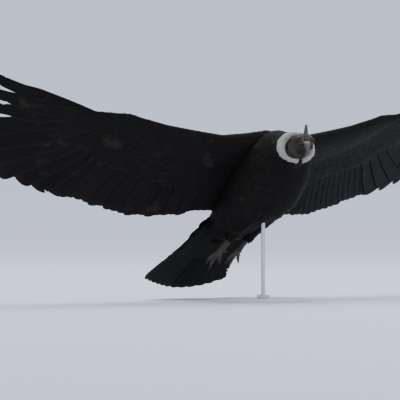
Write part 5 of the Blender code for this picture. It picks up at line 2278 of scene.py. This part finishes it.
@dataclass(frozen=True)
class Ruff:
    """The collar of white down: short soft tufts over a padded roll, open at the throat.

    path runs over the roll as (out from the neck's middle, ahead), from the neck to the rear.
    flat, tuck, throat, crown and slim are the shares by which the ring is drawn in at its top and
    bottom, on its left, at the throat, at the crown and round the angle slim_at.
    """

    down: Material
    rng: Draws
    at: Triple = (-0.006, -0.243, -0.016)
    axis: Triple = (-0.16, -0.93, -0.33)
    flat: float = 0.14
    tuck: float = 0.07
    throat: float = 0.15
    crown: float = 0.02
    slim_at: float = math.radians(-50.0)
    slim: float = 0.42
    slim_middle: float = 0.0735
    slim_draw: float = 0.06
    gap: float = math.radians(12.0)
    path: tuple[Pair, ...] = (
        (0.0500, -0.0080), (0.0610, 0.0080), (0.0715, 0.0140), (0.0795, 0.0070), (0.0835, -0.0060),
        (0.0815, -0.0200), (0.0740, -0.0320),
    )
    pieces: int = 2
    tufts: int = 4200
    rows: int = 6
    width: float = 0.0016
    thick: float = 0.0007

    def section(self, share: Array, lift: Array) -> tuple[Array, Array]:
        """A place over the roll, as how far out from the neck and how far ahead it is.

        Args:
            share: From 0 at the neck to 1 at the hidden rear.
            lift: Height over the roll.

        Returns:
            The distances out and ahead.
        """
        places, columns = np.linspace(0, 1, len(self.path)), list(zip(*self.path))
        here, after, before = (
            [curve_through(places, values, share + step) for values in columns]
            for step in (0.0, 0.02, -0.02)
        )
        step_out, step_ahead = after[0] - before[0], after[1] - before[1]
        size = np.hypot(step_out, step_ahead) + 1e-9
        return here[0] - lift * step_ahead / size, here[1] + lift * step_out / size

    def point(self, turn: Array, out: Array, ahead: Array) -> Array:
        """Finds points of the ruff.

        Args:
            turn: The angle round the neck, from the throat.
            out: How far out from the neck's middle they are.
            ahead: How far ahead.

        Returns:
            The points, in the stand's frame.
        """
        axis = unit(np.array(self.axis))
        left = unit(np.cross((0.0, 0.0, 1.0), axis))
        up = np.cross(axis, left)
        slim = np.maximum(0.0, np.cos(turn - self.slim_at)) ** 2
        out = self.slim_middle + (out - self.slim_middle) * (1 - self.slim * slim)
        ahead = ahead * (1 - self.slim * slim)
        clump = 0.0016 * np.sin(9 * turn + 0.8) * np.sin(4 * turn)
        clump = clump + 0.0010 * np.sin(23 * turn + 2.0)
        reach = (out + clump * smooth_step(0.055, 0.083, out)) * (
            1
            - self.flat * np.cos(turn) ** 2
            - self.throat * np.maximum(0.0, np.cos(turn)) ** 2
            - self.crown * np.maximum(0.0, -np.cos(turn)) ** 2
            - self.tuck * np.maximum(0.0, np.sin(turn))
            - self.slim_draw * slim
        )
        sideways = (np.sin(turn) * reach)[..., None] * left - (np.cos(turn) * reach)[..., None] * up
        return POSE.to_world(np.array(self.at) + (sideways + ahead[..., None] * axis))

    def roll(self, coat: Coat, steps: int = 90) -> None:
        """Adds the padded roll that the tufts lie on.

        Args:
            coat: Its piece.
            steps: How many rings.
        """
        share = np.linspace(0, 1, 16)
        front = self.section(share, np.full(16, -0.0015))
        back = self.section(share[-2:0:-1], np.full(14, -0.014))
        out, ahead = (np.concatenate(rows) for rows in zip(front, back))
        inset = self.gap + 0.03
        turn = np.linspace(inset, 2 * math.pi - inset, steps)[:, None]
        rings = self.point(turn + 0 * out, out + 0 * turn, ahead + 0 * turn)[None]
        full = np.ones(rings.shape[:3])
        layers = {"along": full * 0.5, "across": full * 0.0, "tone": full * 0.5}
        coat.add(rings, layers, np.array([[0.01, 0.93, 0.98, 0.06]]))

    def piece(self, coat: Coat) -> None:
        """Adds one piece's tufts, spread all over the roll.

        Args:
            coat: The piece.
        """
        count, rng = self.tufts, self.rng
        t = np.linspace(0, 1, self.rows)
        begin = rng.uniform(0, 1, count) ** 0.9 * 0.84 - 0.02
        turn = self.gap + rng.uniform(0, 1, count) * 2 * (math.pi - self.gap)
        share = begin[:, None] + rng.uniform(0.14, 0.22, (count, 1)) * t
        curl = rng.uniform(0.0, 0.0034, (count, 1)) * np.sin(2.6 * t)
        lift = -0.0022 + rng.uniform(0.0020, 0.0046, (count, 1)) * t**0.7 + curl
        out, _ = self.section(share, lift)
        sway = rng.normal(0, 0.055, (count, 1)) * t**1.4
        sway = sway + rng.normal(0, 0.022, (count, 1)) * np.sin(6 * t)
        middle = np.clip(turn[:, None] + sway, self.gap, 2 * math.pi - self.gap)
        body = np.sqrt(np.clip(1 - t**2.2 * 0.985, 0, 1)) * (0.55 + 0.45 * np.minimum(1, 3 * t))
        half = self.width * rng.uniform(0.65, 1.3, (count, 1)) * body
        bank = rng.normal(0, 0.6, (count, 1))
        rings = []
        for across, rise in ((-1, 0), (0, 1), (1, 0), (0, -1)):
            at = self.section(share, lift + rise * self.thick * body + bank * across * half)
            rings.append(self.point(middle + across * half / out, *at))
        full = np.ones((count, self.rows, 4))
        layers = {
            "along": full * t[None, :, None],
            "across": full * np.array([-1.0, 0.0, 1.0, 0.0]),
            "tone": full * rng.uniform(0, 1, (count, 1, 1)),
        }
        places = patches_at(paired(turn / (2 * math.pi), 0.02 + 0.88 * begin.clip(0)))
        coat.add(np.stack(rings, axis=2), layers, places)

    def build(self) -> list[Object]:
        """Makes the roll and all its tufts, shared out over some pieces.

        Returns:
            The pieces.
        """
        made = []
        for number in range(self.pieces):
            coat = Coat(f"ruff_tufts_{number + 1}", 2, sharp=False)
            if number == 0:
                self.roll(coat)
            self.piece(coat)
            made.append(coat.build(self.down, "ruff_down"))
        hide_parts("ruff")
        return made


@dataclass(frozen=True)
class Foot:
    """One foot: the shank, three toes laid back under the tail, a short hind toe and their claws.

    toes lists (degrees outward, length, radius), and the girth tables list (share of the length,
    share of the radius).
    """

    side: Side
    horn: Material
    ankle: Triple = (0.046, 0.262, -0.056)
    sole: Triple = (0.044, 0.362, -0.051)
    radius: float = 0.0125
    toes: tuple[Triple, ...] = ((26.0, 0.088, 0.0090), (3.0, 0.112, 0.0098), (-19.0, 0.084, 0.0090))
    shank_girth: tuple[Pair, ...] = (
        (-0.25, 1.1), (-0.03, 1.2), (0.2, 1.0), (0.5, 0.9), (0.8, 0.97), (1.0, 1.15), (1.1, 0.8),
    )
    toe_girth: tuple[Pair, ...] = (
        (-0.06, 1.0), (0.12, 1.0), (0.32, 0.84), (0.50, 0.94), (0.68, 0.80), (0.84, 0.62),
        (0.93, 0.42), (1.0, 0.12),
    )
    hind_girth: tuple[Pair, ...] = ((-0.3, 1.0), (0.2, 1.0), (0.5, 0.9), (0.72, 0.6))
    claw_from: float = 0.78
    claw_to: float = 1.02
    claw_share: float = 0.62
    hind: Triple = (-0.010, -0.012, -0.030)
    hind_radius: float = 0.0065
    band: float = 0.0052
    cell: float = 0.0016

    def toe_line(self, yaw: float, length: float, t: Array) -> Array:
        """Follows a toe's middle.

        Args:
            yaw: The toe's angle outward, in degrees.
            length: Its length.
            t: Shares of its length.

        Returns:
            Points along it.
        """
        turn = math.radians(yaw)
        rise = 0.06 * t - 0.16 * t * np.maximum(0.0, t) ** 2
        line = np.stack([math.sin(turn) * t, math.cos(turn) * t, rise], 1) * length
        return np.array(self.sole) + line

    def hind_line(self, t: Array) -> Array:
        """Points along the hind toe's middle."""
        return np.array(self.sole) + np.array(self.hind) * t[:, None]

    def tube(self, line: Array, radii: Array, sides: int = 24) -> Array:
        """Shapes a tube on this foot's side.

        Args:
            line: Points along its middle.
            radii: Its radius at each.
            sides: How many points round it.

        Returns:
            Its rings.
        """
        side, up = frame_along(np.gradient(line, axis=0))
        turn = turns(sides)[None, :, None]
        outward = side[:, None] * np.cos(turn) + up[:, None] * np.sin(turn)
        return (line[:, None] + radii[:, None, None] * outward) * (self.side.value, 1, 1)

    def skin(self) -> Object:
        """Makes the scaled skin of the shank and toes.

        Returns:
            The skin, in the bird's frame.
        """
        ankle, sole = np.array(self.ankle), np.array(self.sole)
        t = np.linspace(-0.25, 1.1, 50)
        girth = curve_through(*zip(*self.shank_girth), t)
        shank = self.tube(ankle + (sole - ankle) * t[:, None], self.radius * girth)
        parts = [solid_from("shank", shank)]
        t = np.linspace(-0.06, 0.86, 70)
        girth = curve_through(*zip(*self.toe_girth), t)
        pads = 1 + 0.07 * np.cos(2 * math.pi * (t - 0.16) / 0.30)
        for yaw, length, radius in self.toes:
            toe = self.tube(self.toe_line(yaw, length, t), radius * girth * pads)
            parts.append(solid_from("toe", toe))
        t = np.linspace(-0.3, 0.72, 30)
        girth = curve_through(*zip(*self.hind_girth), t)
        hind = self.tube(self.hind_line(t), self.hind_radius * girth)
        pad = (self.side.value * sole[0], sole[1], sole[2] - 0.002)
        parts += [solid_from("hind", hind), ball("pad", pad, self.radius, (1.25, 1.0, 0.8))]
        obj = merged("foot_skin", parts, self.cell)
        mesh = obj.data
        points, normals = vectors_of(mesh.vertices, "co"), vectors_of(mesh.vertex_normals, "vector")
        bands = np.sin(2 * math.pi * points[:, 1] / self.band)
        top = smooth_step(0.1, 0.7, abs(normals[:, 2]))
        pebbles = 0.0003 * lattice_noise(points, 300, 5)
        move = 0.00035 * top * np.sign(bands) * abs(bands) ** 0.6 + pebbles
        set_points(mesh, points + normals * move[:, None])
        return obj

    def build(self) -> list[Object]:
        """Makes the four blunt, curved claws.

        Returns:
            The piece.
        """
        coat = Coat(f"{self.side.label}_claws", 12)
        for yaw, length, radius in self.toes:
            t = np.linspace(self.claw_from, self.claw_to, 14)
            line = self.toe_line(yaw, length, t)
            line[:, 2] -= 0.004 * ((t - t[0]) / (t[-1] - t[0])) ** 2
            self._claw(coat, line, t, radius)
        t = np.linspace(0.55, self.claw_to, 14)
        self._claw(coat, self.hind_line(t), t, self.hind_radius)
        return [coat.build(self.horn, "leg_skin")]

    def _claw(self, coat: Coat, line: Array, t: Array, radius: float) -> None:
        """Adds one claw.

        Args:
            coat: Its piece.
            line: Points along its middle.
            t: Their shares of the toe's length.
            radius: The toe's radius.
        """
        part = (t - t[0]) / (t[-1] - t[0])
        radii = self.claw_share * radius * np.sqrt(np.clip(1 - part**1.6 * 0.985, 0, 1))
        rings = POSE.to_world(self.tube(line, radii))[None]
        full = np.ones(rings.shape[:3])
        patch = np.array([[0.1 + 0.2 * len(coat.bodies), 0.1, 0.18, 0.18]])
        coat.add(rings, {"ahead": full * np.linspace(0, 1, len(line))[None, :, None]}, patch)


@dataclass(frozen=True)
class Skin:
    """The one skin under the whole bird: bare on the head, neck and feet, and feathered elsewhere.

    finishes are those of the feathered body, of the head and neck, and of the feet.
    """

    trunk: Trunk
    tail: Tail
    head: Head
    wings: list[Wing]
    thighs: list[Thigh]
    feet: list[Foot]
    finishes: tuple[Material, Material, Material]
    cell: float = 0.0064
    bare_before: float = -0.228
    scaled_behind: float = 0.262
    scaled_below: float = -0.018

    def build(self) -> list[Object]:
        """Joins everything into one closed mesh and dresses it by region.

        Returns:
            The skin.
        """
        parts = [
            solid_from("trunk", self.trunk.rings_inside()),
            solid_from("rump", self.tail.rings_inside()),
            *(solid_from("arm", wing.arm()) for wing in self.wings),
            *(solid_from("thigh", thigh.rings_inside()) for thigh in self.thighs),
        ]
        body = merged("skin", parts, self.cell)
        combine(body, "UNION", [self.head.skin(), *(foot.skin() for foot in self.feet)])
        mesh = body.data
        self.head.colours(body)
        _, y, z = vectors_of(mesh.polygons, "center").T
        scaled = (y > self.scaled_behind) & (z < self.scaled_below)
        region = np.where(scaled, 2, y < self.bare_before)
        mesh.materials.clear()
        for finish in self.finishes:
            mesh.materials.append(finish)
        mesh.polygons.foreach_set("material_index", region.astype(np.int32))
        set_points(mesh, POSE.to_world(vectors_of(mesh.vertices, "co")))
        mesh.shade_smooth()
        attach(body, BODY)
        legs = ("left_thigh", "right_thigh", "left_foot", "right_foot")
        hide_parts("torso", "neck", "head", "wattle", "comb", *legs)
        return [body]


@dataclass(frozen=True)
class Stand:
    """The display stand: a round foot, a collar and a short rod up into the belly."""

    paint: Material
    steel: Material
    base_radius: float = 0.20
    base_thick: float = 0.012
    edge: float = 0.002
    rod_radius: float = 0.008
    rod_sunk: float = 0.012
    collar_radius: float = 0.024
    collar_height: float = 0.014
    gap: float = 0.0003

    @staticmethod
    def _rounded(corner: Pair, radius: float, start: float, steps: int = 6) -> list[Pair]:
        """Lays points round a quarter of a circle.

        Args:
            corner: The circle's middle.
            radius: Its radius.
            start: The angle, in degrees, from which they run down.
            steps: How many steps they make.

        Returns:
            The points.
        """
        x, y = corner
        angles = [math.radians(start - 90 * k / steps) for k in range(steps + 1)]
        return [(x + radius * math.cos(a), y + radius * math.sin(a)) for a in angles]

    def build(self) -> list[Object]:
        """Makes all three pieces.

        Returns:
            The pieces.
        """
        e = self.edge
        foot = [
            (0, self.base_thick),
            *self._rounded((self.base_radius - e, self.base_thick - e), e, 90),
            *self._rounded((self.base_radius - e / 2, e / 2), e / 2, 0),
            (0, 0),
        ]
        low = self.base_thick + self.gap
        high, inner = low + self.collar_height, self.rod_radius + self.gap
        collar = [
            (inner, high),
            *self._rounded((self.collar_radius - e, high - e), e, 90),
            *self._rounded((self.collar_radius - e / 4, low + e / 4), e / 4, 0),
            (inner, low),
        ]
        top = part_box("stand_rod")[1].z + self.rod_sunk
        rod = [(0, top), (self.rod_radius, top), (self.rod_radius, low), (0, low)]
        made = []
        for name, profile, steps, node, finish, slot in (
            ("stand_foot_painted", foot, 128, "stand_base", self.paint, "stand_paint"),
            ("stand_collar_turned", collar, 96, "stand_collar", self.steel, "stand_steel"),
            ("stand_rod_turned", rod, 64, "stand_rod", self.steel, "stand_steel"),
        ):
            obj = turned_from(name, profile, steps)
            obj.data.shade_smooth()
            obj.data.set_sharp_from_angle(angle=math.radians(30))
            obj.data.materials.append(finish)
            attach(obj, BODY)
            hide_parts(node)
            made.append(obj)
        return made


@dataclass(frozen=True)
class Studio:
    """The floor and wall, the lights and the camera."""

    ground: Material
    azimuth: float = math.radians(-38.0)
    distance: float = 18.0
    metres_per_pixel: float = 0.0040
    ruff: Triple = (0.0, -0.235, -0.0153)
    ruff_pixel: Pair = (297.0, 150.0)
    picture: float = 400.0
    sensor: float = 36.0
    clip: Pair = (0.1, 200.0)
    floor_reach: float = 60.0
    floor_level: float = -0.0005
    bend: float = 25.0
    bend_steps: int = 16
    sky: Floats = (0.86, 0.92, 1.0, 1.0)
    sky_strength: float = 1.3

    def build(self) -> None:
        """Makes all of it."""
        self.camera()
        self.backdrop()
        self.light()

    def camera(self) -> None:
        """Makes a level, distant camera, to the right of the bird's heading."""
        out = Vector((math.sin(self.azimuth), -math.cos(self.azimuth), 0.0))
        right = Vector((math.cos(self.azimuth), math.sin(self.azimuth), 0.0))
        target = Vector(POSE.to_world(np.array(self.ruff)))
        half = self.picture / 2
        across, below = ((pixel - half) * self.metres_per_pixel for pixel in self.ruff_pixel)
        middle = target - right * across + Vector((0.0, 0.0, 1.0)) * below
        data = bpy.data.cameras.new("camera")
        data.sensor_width = self.sensor
        data.lens = self.sensor * self.distance / (self.picture * self.metres_per_pixel)
        data.clip_start, data.clip_end = self.clip
        obj = linked("camera", data)
        obj.location = target + out * self.distance
        self._aim(obj, middle)
        bpy.context.scene.camera = obj

    @staticmethod
    def _aim(obj: Object, at: Vector) -> None:
        """Turns a camera or lamp towards a point."""
        obj.rotation_mode = "QUATERNION"
        obj.rotation_quaternion = (at - obj.location).to_track_quat("-Z", "Y")

    def backdrop(self) -> None:
        """Makes a wide floor that curves up into a wall, all round the bird."""
        profile = [(0.0, self.floor_level)]
        for k in range(self.bend_steps + 1):
            angle = math.radians(90 * k / self.bend_steps)
            out = self.floor_reach + self.bend * math.sin(angle)
            profile.append((out, self.bend * (1 - math.cos(angle)) + self.floor_level))
        obj = turned_from("backdrop", profile, 96, closed=False)
        obj.data.shade_smooth()
        obj.data.materials.append(self.ground)

    def lamp(
        self, name: str, at: Triple, aim: Triple, size: float, power: float, colour: Triple
    ) -> None:
        """Hangs one square soft light.

        Args:
            name: Its name.
            at: Where it hangs.
            aim: What it shines on.
            size: The length of its side.
            power: Its power in watts.
            colour: Its colour.
        """
        data = bpy.data.lights.new(name, "AREA")
        data.shape = "SQUARE"
        data.size, data.energy, data.color = size, power, colour
        obj = linked(name, data)
        obj.location = at
        self._aim(obj, Vector(aim))

    def light(self) -> None:
        """Sets soft light from all round, stronger from above and behind."""
        world = bpy.data.worlds.new("studio")
        world.use_nodes = True
        shader = world.node_tree.nodes["Background"]
        shader.inputs["Color"].default_value = self.sky
        shader.inputs["Strength"].default_value = self.sky_strength
        bpy.context.scene.world = world
        self.lamp("over", (1.5, 1.5, 6.5), (0, 0, 0.6), 7.0, 300.0, (1.0, 0.98, 0.95))
        self.lamp("front", (-2.0, -7.0, 2.2), (0, -0.1, 0.5), 3.0, 30.0, (1.0, 0.97, 0.93))


SEED = 11
VANE_WARMTH = (0.0125, 0.0112, 0.0105)
CLAW_TIP = (0.030, 0.026, 0.023)


def main() -> None:
    """Builds and dresses every piece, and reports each."""
    logging.basicConfig(level=logging.INFO, format="%(name)s %(message)s")
    rng = np.random.default_rng(SEED)
    Studio(BACKDROP.make()).build()
    plumage = PlumageFinish("dark_plumage").make()
    vanes = PlumageFinish("flight_feathers", warm=VANE_WARMTH, barb_gap=0.0012, gloss=0.48).make()
    claw = HornFinish("claw_horn", tip=CLAW_TIP).make()
    skins = (HIDDEN_SKIN.make(), BareSkinFinish().make(), LegFinish().make())
    wings = [Wing(side, vanes, plumage, rng) for side in Side]
    thighs = [Thigh(side, plumage, rng) for side in Side]
    feet = [Foot(side, claw) for side in Side]
    trunk, tail, head = Trunk(plumage, rng), Tail(vanes, plumage, rng), Head(EyeFinish().make())
    skin = Skin(trunk, tail, head, wings, thighs, feet, skins)
    bill, ruff = Bill(HornFinish("bill_horn").make()), Ruff(DownFinish().make(), rng)
    stand = Stand(STAND_PAINT.make(), STAND_STEEL.make())
    for part in (*wings, trunk, tail, *thighs, skin, head, bill, ruff, *feet, stand):
        for piece in part.build():
            mesh = piece.data
            LOG.info("%s: %d triangles", piece.name, len(mesh.loops) - 2 * len(mesh.polygons))


if __name__ == "__main__":
    main()
